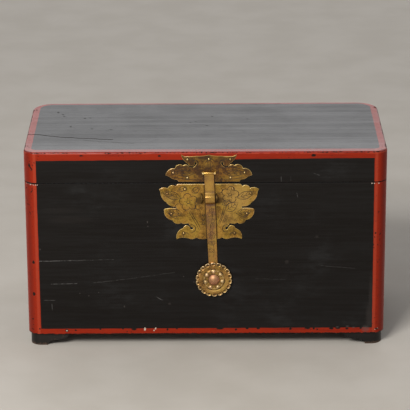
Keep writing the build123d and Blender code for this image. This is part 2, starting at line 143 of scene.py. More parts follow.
# %% Fields, and how they are fed
class Field:
    """What a node puts out.  Numbers are reckoned with Math nodes, the rest with Vector Math."""

    def __init__(self, socket):
        self.socket = socket
        self.tree = socket.id_data

    def reckon(self, operation, *values):
        kind = "Math" if self.socket.type == "VALUE" else "VectorMath"
        return put(self.tree, kind, values, operation=operation)

    def __add__(self, other):
        return self.reckon("ADD", self, other)

    def __radd__(self, other):
        return self.reckon("ADD", other, self)

    def __sub__(self, other):
        return self.reckon("SUBTRACT", self, other)

    def __rsub__(self, other):
        return self.reckon("SUBTRACT", other, self)

    def __mul__(self, other):
        return self.reckon("MULTIPLY", self, other)

    def __truediv__(self, other):
        return self.reckon("DIVIDE", self, other)

    def __rtruediv__(self, other):
        return self.reckon("DIVIDE", other, self)

    def __abs__(self):
        return self.reckon("ABSOLUTE", self)

    def clamped(self):
        """The same number, kept between 0 and 1 by the node that gives it."""
        self.socket.node.use_clamp = True
        return self


def feed(sockets, values):
    """Join fields to sockets and set plain values there.  A name's underscores stand for spaces."""
    for key, value in values.items():
        socket = sockets[key.replace("_", " ") if isinstance(key, str) else key]
        if isinstance(value, Field):
            value.tree.links.new(value.socket, socket)
        else:
            socket.default_value = value


def put(tree, kind, inputs=(), out=0, **settings):
    """Put one node in a tree.  Its inputs are given in order or by name."""
    made = tree.nodes.new("ShaderNode" + kind)
    for name, value in settings.items():
        setattr(made, name, value)
    feed(made.inputs, inputs if isinstance(inputs, dict) else dict(enumerate(inputs)))
    return Field(made.outputs[out])


def tree_of(values):
    """The tree of the first field among some values."""
    return next(value.tree for value in values if isinstance(value, Field))


print("fields ready")

# %% Helpers for nodes
def maths(operation, *values):
    return put(tree_of(values), "Math", values, operation=operation)


def highest(*values):
    """The greatest of several fields and plain numbers."""
    top = values[0]
    for value in values[1:]:
        plain = not isinstance(top, Field) and not isinstance(value, Field)
        top = max(top, value) if plain else maths("MAXIMUM", top, value)
    return top


def length(place):
    return put(place.tree, "VectorMath", (place,), out="Value", operation="LENGTH")


def dot(first, second):
    return put(first.tree, "VectorMath", (first, second), out="Value", operation="DOT_PRODUCT")


def split(place):
    """The X, Y and Z of a place."""
    made = put(place.tree, "SeparateXYZ", (place,)).socket.node
    return [Field(socket) for socket in made.outputs]


def fade(value, start, end, low=0.0, high=1.0):
    """A soft step: low before start, high after end."""
    return put(value.tree, "MapRange", (value, start, end, low, high), interpolation_type="SMOOTHSTEP")


def blend(share, first, second):
    """Two numbers mixed: none of the second at share 0, all of it at share 1."""
    return put(share.tree, "Mix", {0: share, 2: first, 3: second})


def mingle(share, first, second, mode="MIX"):
    """Two colours mixed in the same way."""
    values = {0: share, 6: first, 7: second}
    return put(tree_of(values.values()), "Mix", values, out=2, data_type="RGBA", blend_type=mode)


def noise(place, scale, detail=2.0, roughness=0.5, distortion=0.0, out=0):
    values = {"Vector": place, "Scale": scale, "Detail": detail, "Roughness": roughness}
    return put(place.tree, "TexNoise", values | {"Distortion": distortion}, out=out)


def bump(height, depth):
    """The normal of a surface that rises by depth, in metres, where height is 1."""
    return put(height.tree, "Bump", {"Distance": depth, "Height": height})


print("helpers for nodes ready")

# %% Helpers for groups and materials
ORIGIN, WHOLE, HALF = (0.0, 0.0, 0.0), (1.0, 1.0, 1.0), (0.5, 0.5, 0.5)


def open_group(name, inputs, outputs):
    """A new group with its sockets.  A number, three numbers or four make a value, vector or colour."""
    tree = bpy.data.node_groups.new(name, "ShaderNodeTree")
    for label, default in inputs.items():
        size = len(default) if isinstance(default, tuple) else 1
        kind = {1: "NodeSocketFloat", 3: "NodeSocketVector", 4: "NodeSocketColor"}[size]
        tree.interface.new_socket(label, in_out="INPUT", socket_type=kind).default_value = default
    for label, kind in outputs.items():
        tree.interface.new_socket(label, in_out="OUTPUT", socket_type="NodeSocket" + kind)
    given = {socket.name: Field(socket) for socket in tree.nodes.new("NodeGroupInput").outputs}
    return tree, given, tree.nodes.new("NodeGroupOutput").inputs


def place_group(group, **inputs):
    """Place a finished group in the tree of its inputs and return its outputs."""
    made = tree_of(inputs.values()).nodes.new("ShaderNodeGroup")
    made.node_tree = group
    feed(made.inputs, inputs)
    return {socket.name: Field(socket) for socket in made.outputs}


def open_material(name, **constants):
    """A material, its shader's sockets and the object's own coordinates.  Constants go on the shader."""
    made = bpy.data.materials.new(name)
    made.use_nodes = True
    shader = made.node_tree.nodes["Principled BSDF"].inputs
    feed(shader, constants)
    return made, shader, put(made.node_tree, "TexCoord", out="Object")


print("helpers for groups and materials ready")

# %% [markdown]
# ## Effects that several finishes share
# - **Spot** marks one patch with a ragged edge: a chip, a stain, the dark ring round a nail.
# - **Grain** gives long streaks, because brushed lacquer sinks a little into the wood under it.
# - **Scratches** gives scattered hairlines in one direction.
# - **Hairline** marks one long scratch from a start along its way.
# - **Chips** gives small islands where a coat has come away.
# - **Case depth** measures how far a point lies under the outside of the case, seen from above.

# %% Group: spot
spot, given, result = open_group(
    "Spot",
    {"Position": ORIGIN, "Centre": ORIGIN, "Size": WHOLE, "Soft": 0.1, "Ragged": 0.0},
    {"Mask": "Float"},
)
reach = length((given["Position"] - given["Centre"]) / given["Size"]) + given["Ragged"]
feed(result, {"Mask": fade(reach, 1.0 - given["Soft"], 1.0 + given["Soft"], 1.0, 0.0)})
print("group:", spot.name)


def raggedness(position, fineness, amount):
    """A noise about zero.  Added to the reach of a spot, it frays the spot's edge."""
    return (noise(position, fineness, 3) - 0.5) * amount


def spots(position, ragged, rows, soft=0.15):
    """The masks of several spots, joined into one.  A row is a centre, a size and a strength."""
    shared = {"Position": position, "Soft": soft, "Ragged": ragged}
    masks = [place_group(spot, Centre=centre, Size=size, **shared)["Mask"] * strength
             for centre, size, strength in rows]
    return highest(0.0, *masks)

# %% Group: grain
grain, given, result = open_group(
    "Grain",
    {"Position": ORIGIN, "Stretch": (0.04, 1.0, 1.0)},
    {"Broad": "Float", "Fine": "Float", "Pores": "Float"},
)
along = given["Position"] * given["Stretch"]
feed(result, {
    "Broad": noise(along, 26.0, 3, 0.6, 0.6),
    "Fine": noise(along, 240.0, 3, 0.6, 0.3),
    "Pores": fade(noise(along, 900.0, 1), 0.62, 0.7),
})
print("group:", grain.name)

# %% Group: scratches
scratches, given, result = open_group(
    "Scratches",
    {"Position": ORIGIN, "Turn": ORIGIN, "Length": 0.16, "Spacing": 0.012, "Width": 0.05},
    {"Mask": "Float"},
)
turned = put(scratches, "VectorRotate", {"Vector": given["Position"], "Rotation": given["Turn"]},
             rotation_type="EULER_XYZ")
lengths = put(scratches, "CombineXYZ", (given["Length"], given["Spacing"], given["Spacing"]))
cells = put(scratches, "TexVoronoi", {"Vector": turned / lengths, "Scale": 1.0}, out="Distance")
broken = fade(noise(given["Position"], 9.0, 2), 0.45, 0.6)
threads = fade(cells, given["Width"] * 0.4, given["Width"], 1.0, 0.0)
feed(result, {"Mask": threads * broken})
print("group:", scratches.name)

# %% Group: hairline
HAIR_SHAKE = (0.0, 0.0, 2.5 * MM)  # how far a scratch strays up and down
HAIR_HALF_WIDTH = 1.3 * MM

hairline, given, result = open_group(
    "Hairline",
    {"Position": ORIGIN, "Start": ORIGIN, "Along": (1.0, 0.0, 0.0), "Half width": 0.0005},
    {"Mask": "Float"},
)
from_start = given["Position"] - given["Start"]
share = (dot(from_start, given["Along"]) / dot(given["Along"], given["Along"])).clamped()
nearest = put(hairline, "VectorMath", {0: given["Along"], "Scale": share}, operation="SCALE")
away = length(from_start - nearest)
feed(result, {"Mask": fade(away, 0.0, given["Half width"], 1.0, 0.0)})
print("group:", hairline.name)


def hairlines(position, rows):
    """The masks of single scratches, joined into one.  A row is a start, a way and a strength."""
    if not rows:
        return 0.0
    flattened = position * (1.0, 0.0, 1.0)
    shaken = (noise(flattened, 60.0, out="Color") - HALF) * HAIR_SHAKE + flattened
    broken = fade(noise(flattened, 120.0, 2), 0.4, 0.56, 0.25, 1)
    shared = {"Position": shaken, "Half width": HAIR_HALF_WIDTH}
    masks = [place_group(hairline, Start=start, Along=along, **shared)["Mask"] * strength
             for start, along, strength in rows]
    return highest(0.0, *masks) * broken

# %% Group: chips
chips, given, result = open_group(
    "Chips",
    {"Position": ORIGIN, "Size": 0.004, "Share": 0.3, "Where": 1.0},
    {"Mask": "Float"},
)
islands = noise(given["Position"], 1.0 / given["Size"], 4, 0.6)
patches = noise(given["Position"], 0.12 / given["Size"], 2)
edge = 0.98 - given["Share"] * given["Where"]
feed(result, {"Mask": fade(patches * 0.35 + islands, edge, edge + 0.02)})
print("group:", chips.name)

# %% Group: case depth
CASE_LOW, CASE_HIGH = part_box("lid_top_board")
CASE_MIDDLE = (CASE_LOW + CASE_HIGH) / 2
HALF_WIDTH = (CASE_HIGH.x - CASE_LOW.x) / 2
HALF_DEPTH = (CASE_HIGH.y - CASE_LOW.y) / 2
FRONT_RADIUS, BACK_RADIUS = 29 * MM, 48 * MM
FRONT_Y = CASE_LOW.y
LID_TOP = CASE_HIGH.z
BODY_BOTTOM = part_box("body_front_board")[0].z
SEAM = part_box("body_front_board")[1].z + 0.2 * MM  # the middle of the gap under the lid

case_depth, given, result = open_group(
    "Case depth", {"Position": ORIGIN}, {"Depth": "Float", "Height": "Float", "Corner": "Float"}
)
from_middle = given["Position"] - tuple(CASE_MIDDLE)
at_back = maths("GREATER_THAN", split(from_middle)[1], 0.0)
radius = at_back * (BACK_RADIUS - FRONT_RADIUS) + FRONT_RADIUS
across_x, across_y, _ = split(abs(from_middle))
beyond_x, beyond_y = across_x - HALF_WIDTH, across_y - HALF_DEPTH
past_x, past_y = beyond_x + radius, beyond_y + radius
round_x, round_y = highest(past_x, 0.0), highest(past_y, 0.0)
corner_reach = maths("SQRT", round_x * round_x + round_y * round_y)
flat_reach = maths("MINIMUM", highest(past_x, past_y), 0.0)
feed(result, {
    "Depth": radius - (corner_reach + flat_reach),
    "Height": split(given["Position"])[2],
    "Corner": maths("MINIMUM", beyond_x, beyond_y),
})
print("group:", case_depth.name, "half width", round(HALF_WIDTH, 4), "front", round(FRONT_Y, 4))

# %% [markdown]
# ## The painted borders
# Red lacquer frames every face: a wide band round each upright corner, a band under the lid's edge, a
# narrow one along the foot, and a frame on top of the lid.  It is the same sheet of lacquer as the black,
# painted to a line by hand.  So the mask measures distances on the case and lets the line wander by up
# to nine tenths of a millimetre, the corner bands lean a little, and the top band tapers.

# %% Group: painted border
CORNER_BAND, CORNER_LEAN = 28.6 * MM, 0.0033
TOP_BAND, TOP_BAND_TAPER = 16.9 * MM, 0.0051
BOTTOM_BAND = 12.8 * MM
LID_BAND, LID_FRAME_SHIFT = 16.5 * MM, 4 * MM
LID_ROUND = 5 * MM
LINE = 0.25 * MM  # half the softness of a painted line
WANDER = (1.8 * MM,) * 3


def past_line(value, line, low=0.0, high=1.0):
    """The step at a painted line."""
    return fade(value, line - LINE, line + LINE, low, high)


border, given, result = open_group("Painted border", {"Position": ORIGIN}, {"Mask": "Float"})
wandered = (noise(given["Position"], 38.0, 3.0, out="Color") - HALF) * WANDER + given["Position"]
case = place_group(case_depth, Position=wandered)
height = case["Height"]
frame_depth = place_group(case_depth, Position=wandered - (0.0, LID_FRAME_SHIFT, 0.0))["Depth"]
top_line = split(wandered)[0] * TOP_BAND_TAPER + (LID_TOP - TOP_BAND)
sideways = put(border, "CombineXYZ", ((height - (LID_TOP + BODY_BOTTOM) / 2) * CORNER_LEAN,))
leaning = place_group(case_depth, Position=wandered + sideways)["Corner"]
side_bands = highest(
    past_line(leaning, -CORNER_BAND),
    past_line(height - top_line, 0.0),
    past_line(height, BODY_BOTTOM + BOTTOM_BAND, 1, 0),
)
on_top = fade(height, LID_TOP - LID_ROUND, LID_TOP - LID_ROUND / 2)
feed(result, {"Mask": blend(on_top, side_bands, past_line(frame_depth, LID_BAND, 1, 0))})
print("group:", border.name)

# %% [markdown]
# ## Old lacquer
# Several thin coats of sap lacquer are brushed over the boards and polished with charcoal.  The surface
# is smooth but never flat: grain streaks show through, hands leave dull smudges, and the coat is chipped
# along its edges down to dark ground.  Inside, the boards were left bare.
#
# First come the colours, then the marks that belong to one place: knocks down to the ground or to the
# pale gesso, dull patches, single long scratches, and pits in the lid.  Two tall grey patches beside the
# right corner band are partly wear and partly a painted reflection.

# %% Colours of lacquer and wood
BLACK, BLACK_DULL = (0.0058, 0.0044, 0.0036, 1), (0.0140, 0.0132, 0.0125, 1)
BLACK_FADED_AND_SHEEN, BLACK_DUSTY = (0.085, 0.070, 0.062, 1), (0.0155, 0.0125, 0.0100, 1)
SCRATCH = (0.125, 0.120, 0.112, 1)
RED, RED_UNEVEN_AND_SHADE = (0.272, 0.0165, 0.0030, 1), (0.125, 0.0075, 0.0030, 1)
RED_HIGHLIGHT, RED_WORN_AND_SHADE = (0.42, 0.060, 0.026, 1), (0.075, 0.009, 0.006, 1)
GROUND, WORN_FOOT = (0.011, 0.0065, 0.0045, 1), (0.055, 0.032, 0.020, 1)
GESSO = (0.52, 0.42, 0.33, 1)
# Near black: for the seam under the lid, and for the underside, where it is grime and painted shade.
DIRT_AND_SHADE = (0.0022, 0.0016, 0.0013, 1)
PINE, PINE_DARK, PINE_STAINED = (0.40, 0.255, 0.135, 1), (0.22, 0.12, 0.055, 1), (0.17, 0.11, 0.06, 1)
print("darkest and palest:", BLACK[:3], GESSO[:3])

# %% Marks of one place
FACE_TOUCH, TOP_TOUCH = 14 * MM, 4 * MM  # how deep a mark reaches through the front and the lid
PIT_STRENGTH = 0.6


def front_spots(rows):
    """Spots on the front, from rows of (x, height, half width, half height) in millimetres, and a
    strength where it is less than one."""
    return [((x * MM, FRONT_Y, z * MM), (wide * MM, FACE_TOUCH, high * MM), (*strength, 1.0)[0])
            for x, z, wide, high, *strength in rows]


def lid_spots(rows):
    """Spots on top of the lid, from rows of (x, y, half width, half depth) in millimetres."""
    return [((x * MM, y * MM, LID_TOP), (wide * MM, deep * MM, TOP_TOUCH), PIT_STRENGTH)
            for x, y, wide, deep in rows]


ON_LID_EDGE = front_spots([(-272, 448.6, 4.2, 1.6), (237, 447.5, 5, 3.2), (-101, 447.5, 3, 2)])
FRONT_DARK = ON_LID_EDGE + front_spots([
    (-383.5, 199, 2.8, 4), (-384.5, 124.5, 3, 5), (-389, 61, 2.2, 3.2), (-389, 40.5, 3.4, 4.4),
    (-385.8, 49.9, 1.8, 2), (-373.8, 40.5, 1.6, 1.8), (-313, 36.2, 3.6, 3.4), (-293, 37, 2.2, 1.8),
    (-237.7, 39.3, 2.2, 1.6), (227.5, 39.8, 6, 2.3), (241.7, 38.8, 2.2, 2.6), (249.4, 37, 2, 1.7),
    (281, 38.6, 5.2, 2.5), (383, 37.5, 4.4, 3.4), (-356, 383, 3, 1.3), (355, 384, 14, 1.2),
    (-378, 384, 16, 1.1), (-187, 40, 2.2, 1.7), (-162, 39, 5.5, 2.6), (-87, 38, 2.2, 2.6),
    (-66, 40, 2, 1.6), (31, 39.6, 7.5, 2.1), (67, 37, 2.4, 2.4), (92, 39.6, 3.2, 2.1), (117, 39.6, 3.6, 2.2),
    (189, 38.5, 2.8, 2.8), (296, 39.6, 5.6, 2.1), (316, 38.4, 3.4, 2.3), (347, 39.6, 3, 2.1),
    (384, 178, 1.8, 3), (376, 266, 2, 1.8), (397, 190, 1.6, 8), (397.5, 150, 1.6, 5),
    (398, 349, 1.8, 2.6),
])
FRONT_PALE = front_spots([
    (-137.6, 39.0, 2.2, 3.7), (-113.7, 40.5, 1.6, 2.4), (-117.5, 36.0, 1.6, 1.6), (-313, 36.2, 1.6, 1.5),
    (-394.8, 382.3, 1.5, 1.2), (-385.1, 381.8, 1.6, 1.0), (-379, 381.6, 1.2, 0.9), (-373.8, 381.8, 1.2, 1.0),
    (-370, 381.8, 1.3, 0.9), (365.7, 382.4, 1.4, 1.1), (370.7, 382.2, 1.3, 1.0), (381, 382.0, 1.6, 1.1),
    (385, 38.5, 1.1, 1.2), (379, 36, 1.0, 1.0),
])
# Dull patches on the front.  The two tall ones beside the right corner band are a grey wedge that is partly
# wear and partly a painted reflection.
FRONT_DULL_AND_SHEEN = front_spots([
    (358, 38, 8, 7), (294.5, 42.4, 3, 1.6), (317, 44, 3, 1.7), (330.6, 41, 2.6, 1.5), (-390, 384, 8, 3),
    (366, 66, 7, 30, 0.34), (368, 108, 4, 52, 0.26), (-300, 300, 46, 8, 0.11), (-318, 322, 40, 6, 0.08),
    (-368, 231, 1.4, 1.8), (-282, 126, 1.2, 1.4, 0.8), (-262, 120, 1.3, 1.2, 0.8), (-240, 128, 1.2, 1.3, 0.7),
    (-183, 94, 1.5, 2.2, 0.8), (-129, 294, 1.3, 2.4), (-128, 284, 1.1, 1.5, 0.8), (180, 199, 4, 4, 0.3),
    (246, 258, 3.5, 3, 0.25), (-50, 165, 1.2, 1.2, 0.8), (-27, 152, 1.8, 1.8, 0.5), (-82, 100, 2.6, 2.6, 0.4),
])
FRONT_SCRATCHES = [
    ((x * MM, 0.0, z * MM), ((x_end - x) * MM, 0.0, (z_end - z) * MM), strength)
    for x, z, x_end, z_end, strength in [
        (-376, 202.5, -300, 204, 0.8), (-300, 204, -205, 206, 0.38), (-345, 148, -288, 149.5, 0.6),
        (-251, 151, -179, 159, 0.28), (-179, 159, -70, 175, 0.17), (-363, 110, -338, 109.5, 0.4),
        (-111, 116.5, -98, 109.5, 0.6), (-345, 100, -344.5, 86, 0.45), (254, 190, 331, 183, 0.2),
        (166, 399, 166.5, 386, 0.45), (187, 399, 187.5, 389, 0.35), (201, 360, 203, 350, 0.4),
        (238, 406, 250, 401, 0.35), (110, 159.5, 178, 157, 0.13),
    ]
]
LID_PITS = lid_spots([
    (-340, 119, 2.6, 4), (-328, 102, 2.4, 3.4), (-324, 87, 2.0, 3), (-276, 71, 2.6, 3.4), (-264, 74, 1.8, 3),
    (-305, 7, 2.0, 3.2), (-256, -11, 2.4, 3), (-213, -16, 2.2, 3), (-398, 135, 3, 6), (-391, 139, 2.4, 4),
    (396, 150, 4, 8), (398, -142, 2.5, 16), (-399, -138, 2.2, 5), (-393, -137, 2.2, 3),
    (-34, 34, 2.0, 3), (-22, 41, 1.6, 2.4), (4, 11, 2.2, 3), (16, 82, 2.2, 3.2), (96, 62, 1.8, 2.6),
])
print("marks:", len(FRONT_DARK), len(FRONT_PALE), len(FRONT_DULL_AND_SHEEN), len(FRONT_SCRATCHES), len(LID_PITS))

# %% [markdown]
# Next comes what the recipe asks of each point.  The survey measures where the point lies on the case
# and collects the noises that vary there.  `lean` runs from below zero on top of the lid to above zero
# on its side, so a narrow range of it follows the rounded arris all the way round.

# %% The survey of a point, and where the coat has gone
SCRATCH_WAYS = (  # turn, length and width of three sets of scratches
    ((0, 0.25, 0.2), 0.22, 0.045), ((0.3, -0.7, -0.5), 0.14, 0.04), ((0.1, 1.35, 0.9), 0.12, 0.04),
)
ARRIS_LEAN, SHOULDER_LEAN = 1.2 * MM, 3.6 * MM


def survey(position, stretch):
    """Where a point lies on the case, and the streaks, smudges and scratches that pass there."""
    case = place_group(case_depth, Position=position)
    streaks = place_group(grain, Position=position, Stretch=stretch)
    lines = [place_group(scratches, Position=position, Turn=turn, Length=long, Width=wide)["Mask"]
             for turn, long, wide in SCRATCH_WAYS]
    below = LID_TOP - case["Height"]
    from_seam = abs(case["Height"] - SEAM)
    return SimpleNamespace(
        position=position, height=case["Height"], depth=case["Depth"], corner=case["Corner"],
        below=below, lean=below - case["Depth"], from_seam=from_seam,
        near_seam=fade(from_seam, 0.8 * MM, 3.2 * MM, 0.75, 0),
        red=place_group(border, Position=position)["Mask"],
        broad=streaks["Broad"], fine=streaks["Fine"], line=highest(*lines),
        smudge=noise(position, 7.0, 4, 0.6),
        smear=noise(position * (1.0, 1.0, 3.0), 22.0, 3, 0.6),
        along_edge=noise(position * (1.0, 1.0, 0.2), 30.0, 3, 0.7),
    )


def lost_coat(at, wear, frayed, dark):
    """Chips along the edges, small pits all over, and the dark marks of one place."""
    where = highest(
        at.red * 0.28,
        fade(abs(at.lean), 1.0 * MM, 4.5 * MM, 0.7, 0),
        fade(at.height, BODY_BOTTOM, BODY_BOTTOM + 3.5 * MM, 1, 0),
        at.near_seam,
        fade(at.corner, -31 * MM, -17 * MM, 0, 0.35),
    )
    chipped = place_group(chips, Position=at.position, Size=5 * MM, Share=0.42 * wear, Where=where)
    pitted = place_group(chips, Position=at.position, Size=1.6 * MM, Share=0.14 * wear, Where=1.0)
    return highest(chipped["Mask"], pitted["Mask"] * 0.6, spots(at.position, frayed, dark))


print("survey ready, scratches in", len(SCRATCH_WAYS), "directions")

# %% Coats and bare wood
def black_coat(at):
    """Black, grey where it is smudged, scratched, dusty along the seam or sunk into the grain."""
    smudged = fade(at.smudge, 0.48, 0.75) * fade(at.smear, 0.35, 0.7)
    dull = highest(smudged, at.line * 0.9, at.near_seam * 0.6)
    dull = fade(at.fine, 0.4, 0.62) * 0.24 + dull
    return mingle((fade(at.broad, 0.4, 0.62) * 0.16 + dull).clamped(), BLACK, BLACK_DULL)


def red_coat(at):
    """Red, darker where it is uneven; painted shade towards the outer corner, where the band turns away; a
    painted highlight in a pale band beside the corner and on the shoulder; and a dark broken line along the
    arris, partly wear and partly painted shade.
    """
    uneven = fade(at.fine, 0.42, 0.68) * fade(at.smudge, 0.3, 0.7)
    # Painted shade: the red darkens towards the outer corner, where the band turns away from the light.
    outer_corner_shade = fade(at.corner, -21 * MM, -9 * MM) * 0.62
    # Painted highlight: a pale band just inside each corner band, and a pale broken line on the lid's
    # shoulder.
    corner_highlight = fade(abs(at.corner + 24.5 * MM), 1.5 * MM, 5 * MM, 0.42, 0)
    shoulder_highlight = fade(abs(at.lean - SHOULDER_LEAN), 0.4 * MM, 1.6 * MM, 1, 0)
    # The dark broken line along the arris is partly wear and partly painted shade.
    arris_wear_and_shade = fade(abs(at.lean - ARRIS_LEAN), 0.3 * MM, 1.3 * MM, 0.65, 0)
    paint = mingle(highest(uneven * 0.6, outer_corner_shade), RED, RED_UNEVEN_AND_SHADE)
    paint = mingle(highest(corner_highlight, shoulder_highlight * fade(at.along_edge, 0.58, 0.46) * 0.6), paint, RED_HIGHLIGHT)
    return mingle(arris_wear_and_shade * fade(at.along_edge, 0.5, 0.6) * 0.8, paint, RED_WORN_AND_SHADE)


def softwood(streaks, late_growth):
    """Bare pine with its dark lines of late growth."""
    wood = mingle(fade(streaks["Broad"], 0.4, 0.66), PINE, PINE_DARK)
    return mingle(fade(streaks["Fine"], 0.45, 0.7) * late_growth, wood, PINE_DARK)


def dirty_and_shaded_below(height, wood):
    """The same wood, its lowest few millimetres nearly black: grime, and painted shade under the chest."""
    return mingle(fade(height, BODY_BOTTOM + 0.5 * MM, BODY_BOTTOM + 3 * MM, 0.8, 0), wood, DIRT_AND_SHADE)


def sheen(at, polish, bare):
    """The grey shine on top of the lid, streaked by the brush and stronger towards the front."""
    upward = fade(at.below, 1.0 * MM, 4.0 * MM, polish, 0)
    strokes = noise(at.position * (0.03, 1.0, 1.0), 78.0, 3, 0.65)
    towards_front = fade(split(at.position)[1], -20 * MM, FRONT_Y, 0, 1)
    brushed = (fade(at.broad, 0.40, 0.60) * 0.26 + 0.70 + fade(strokes, 0.38, 0.62) * 0.36
               + towards_front * 0.62)
    return (upward * brushed - bare).clamped()


print("coats ready")

# %% [markdown]
# One recipe now serves every board; only the direction of the grain, the wear and the marks change.
# The relief goes with the colour: soft waves, grain, scratches cut in, and the step down where the coat
# has gone.  Smudges and scratches dull the gloss, and chips and bare wood have none.

# %% Materials: lacquered boards
def lacquer(name, stretch, wear=1.0, dark=(), pale=(), dull_and_sheen=(), scratched=(), polish=0.0):
    """Lacquered wood with its painted borders, bare inside the case."""
    made, shader, position = open_material(name, Specular_IOR_Level=0.155, Coat_Roughness=0.25)
    at = survey(position, stretch)
    frayed = raggedness(position, 420.0, 1.3)
    gone = lost_coat(at, wear, frayed, dark)
    showing = spots(position, raggedness(position, 1300.0, 2.0), pale)

    black = mingle(hairlines(position, scratched), black_coat(at), SCRATCH)
    coat = mingle(gone, mingle(at.red, black, red_coat(at)), GROUND)
    coat = mingle(spots(position, frayed, dull_and_sheen, 0.6) * 0.5, coat, BLACK_FADED_AND_SHEEN)
    coat = mingle(showing, coat, GESSO)
    coat = mingle(fade(at.from_seam, 0.5 * MM, 1.5 * MM, 0.92, 0), coat, DIRT_AND_SHADE)

    touch = at.smear * (6 * MM) + 3 * MM
    under_top = fade(at.height, LID_TOP - 3.5 * MM, LID_TOP - 2.5 * MM, 1, 0)
    inside = fade(at.depth, touch, touch + 1.0 * MM) * under_top
    wood = dirty_and_shaded_below(at.height, softwood({"Broad": at.broad, "Fine": at.fine}, 0.55))

    bare = highest(inside, gone, showing)
    gloss = fade(at.smudge, 0.35, 0.7) * 0.12 + 0.24 + at.broad * 0.12 + at.line * 0.2
    rise = at.broad * 0.35 + at.fine * 0.07 - at.line * 0.10 - highest(gone, showing) * 0.45
    feed(shader, {
        "Base Color": mingle(inside, coat, wood),
        "Roughness": blend(bare, gloss, 0.75),
        "Normal": bump(rise, 0.45 * MM),
    })
    if polish:
        feed(shader, {"Coat Weight": sheen(at, polish, bare)})
    return made


ALONG_X, ALONG_Y = (0.04, 1.0, 1.0), (1.0, 0.04, 1.0)
front_lacquer = lacquer("lacquer on the front", ALONG_X, dark=FRONT_DARK, pale=FRONT_PALE,
                        dull_and_sheen=FRONT_DULL_AND_SHEEN, scratched=FRONT_SCRATCHES)
side_lacquer = lacquer("lacquer on the ends", ALONG_Y)
back_lacquer = lacquer("lacquer on the back", ALONG_X, wear=1.15)
top_lacquer = lacquer("lacquer on the lid", ALONG_X, dark=LID_PITS + ON_LID_EDGE, polish=0.53)
print("materials:", front_lacquer.name, side_lacquer.name, back_lacquer.name, top_lacquer.name)

# %% [markdown]
# ## Black feet and the bare floor board
# The feet are lacquered black and have taken every knock of the broom, so their lower edges are worn to
# brown.  The floor board inside is plain softwood with dark lines of late growth.

# %% Materials: feet and bare wood
feet_lacquer, shader, position = open_material("lacquer on the feet", Specular_IOR_Level=0.3)
streaks = place_group(grain, Position=position, Stretch=ALONG_X)
low = fade(split(position)[2], 0.0, 9 * MM, 1, 0.25)
worn = place_group(chips, Position=position, Size=4 * MM, Share=0.5, Where=low)["Mask"]
dusty = mingle(fade(streaks["Broad"], 0.4, 0.65), BLACK, BLACK_DUSTY)
feed(shader, {
    "Base Color": mingle(worn, dusty, WORN_FOOT),
    "Roughness": worn * 0.3 + 0.42,
    "Normal": bump(streaks["Fine"] - worn * 0.6, 0.3 * MM),
})

bare_wood, shader, position = open_material("bare softwood", IOR=1.45)
streaks = place_group(grain, Position=position, Stretch=ALONG_X)
stain = fade(noise(position, 9.0, 3), 0.5, 0.75, 0, 0.45)
wood = mingle(stain, softwood(streaks, 0.6), PINE_STAINED)
feed(shader, {
    "Base Color": dirty_and_shaded_below(split(position)[2], wood),
    "Roughness": streaks["Fine"] * 0.15 + 0.62,
    "Normal": bump(streaks["Fine"] - streaks["Pores"], 0.25 * MM),
})
print("materials:", feet_lacquer.name, bare_wood.name)

# %% [markdown]
# ## Old brass
# Sheet brass was hammered flat, cut, filed and rubbed, then left to the air.  High spots stay golden,
# the rest turns ochre and brown, and it darkens round the nails.  The group mixes three tones by clouds,
# patches and flecks, tints the metal warmer here and greener there, and gives a matching roughness and a
# faintly hammered height.  Its darkening input takes grime, and on some fittings painted shadow as well.

# %% Group: aged brass
WARM_TINT, GREEN_TINT = (1.04, 0.975, 0.92, 1), (0.98, 1.015, 0.86, 1)

aged_brass, given, result = open_group(
    "Aged brass",
    {"Position": ORIGIN, "Bright": (0.5, 0.34, 0.12, 1.0), "Middle": (0.33, 0.2, 0.06, 1.0),
     "Dark": (0.10, 0.055, 0.02, 1.0), "Polished": (0.8, 0.6, 0.3, 1.0), "Tarnish": 0.4, "Grime": 0.0,
     "Rubbed": 0.0, "Dullness": 0.3},
    {"Color": "Color", "Roughness": "Float", "Metal": "Float", "Height": "Float"},
)
position, rubbed = given["Position"], given["Rubbed"]
flecks = noise(position, 300.0, 3, 0.65)
clouds, patches = noise(position, 24.0, 4, 0.6, 0.5), noise(position, 95.0, 3, 0.6, 0.4)
tone = clouds * 0.42 + patches * 0.30 + flecks * 0.28
shifted = noise(position + (0.3, 0.7, 0.2), 46.0, 3, 0.6)
tint = mingle(fade(shifted, 0.42, 0.58), WARM_TINT, GREEN_TINT)
metal = mingle(fade(tone, 0.43, 0.58), given["Middle"], given["Bright"])
metal = mingle(rubbed, mingle(1.0, metal, tint, "MULTIPLY"), given["Polished"])
start = given["Tarnish"] * 0.15 + 0.34
dulled = fade(tone, start, start + 0.11, 0.75, 0.0)
pitted = fade(noise(position, 900.0, 2, 0.6), 0.60, 0.70, 0.0, 0.55)
spoiled = highest(dulled, given["Grime"], pitted) * (1.0 - rubbed)
hammered = put(aged_brass, "TexVoronoi", {"Vector": position, "Scale": 230.0, "Smoothness": 0.8},
               out="Distance", feature="SMOOTH_F1")
feed(result, {
    "Color": mingle(spoiled, metal, given["Dark"]),
    "Roughness": given["Dullness"] - rubbed * 0.08 + flecks * 0.14 + spoiled * 0.28,
    "Metal": 1.0 - spoiled * 0.3,
    "Height": hammered * 0.8 + flecks * 0.25 - pitted * 0.3,
})
print("group:", aged_brass.name)

# %% [markdown]
# The fittings share a middle line, and the hasp leans a little from its pin.  Rows of spots say where a
# plate is stained, rubbed or painted with the shadows of the lock ears, a painted shadow runs down both
# edges of the strap, and a dark ring goes round each nail.

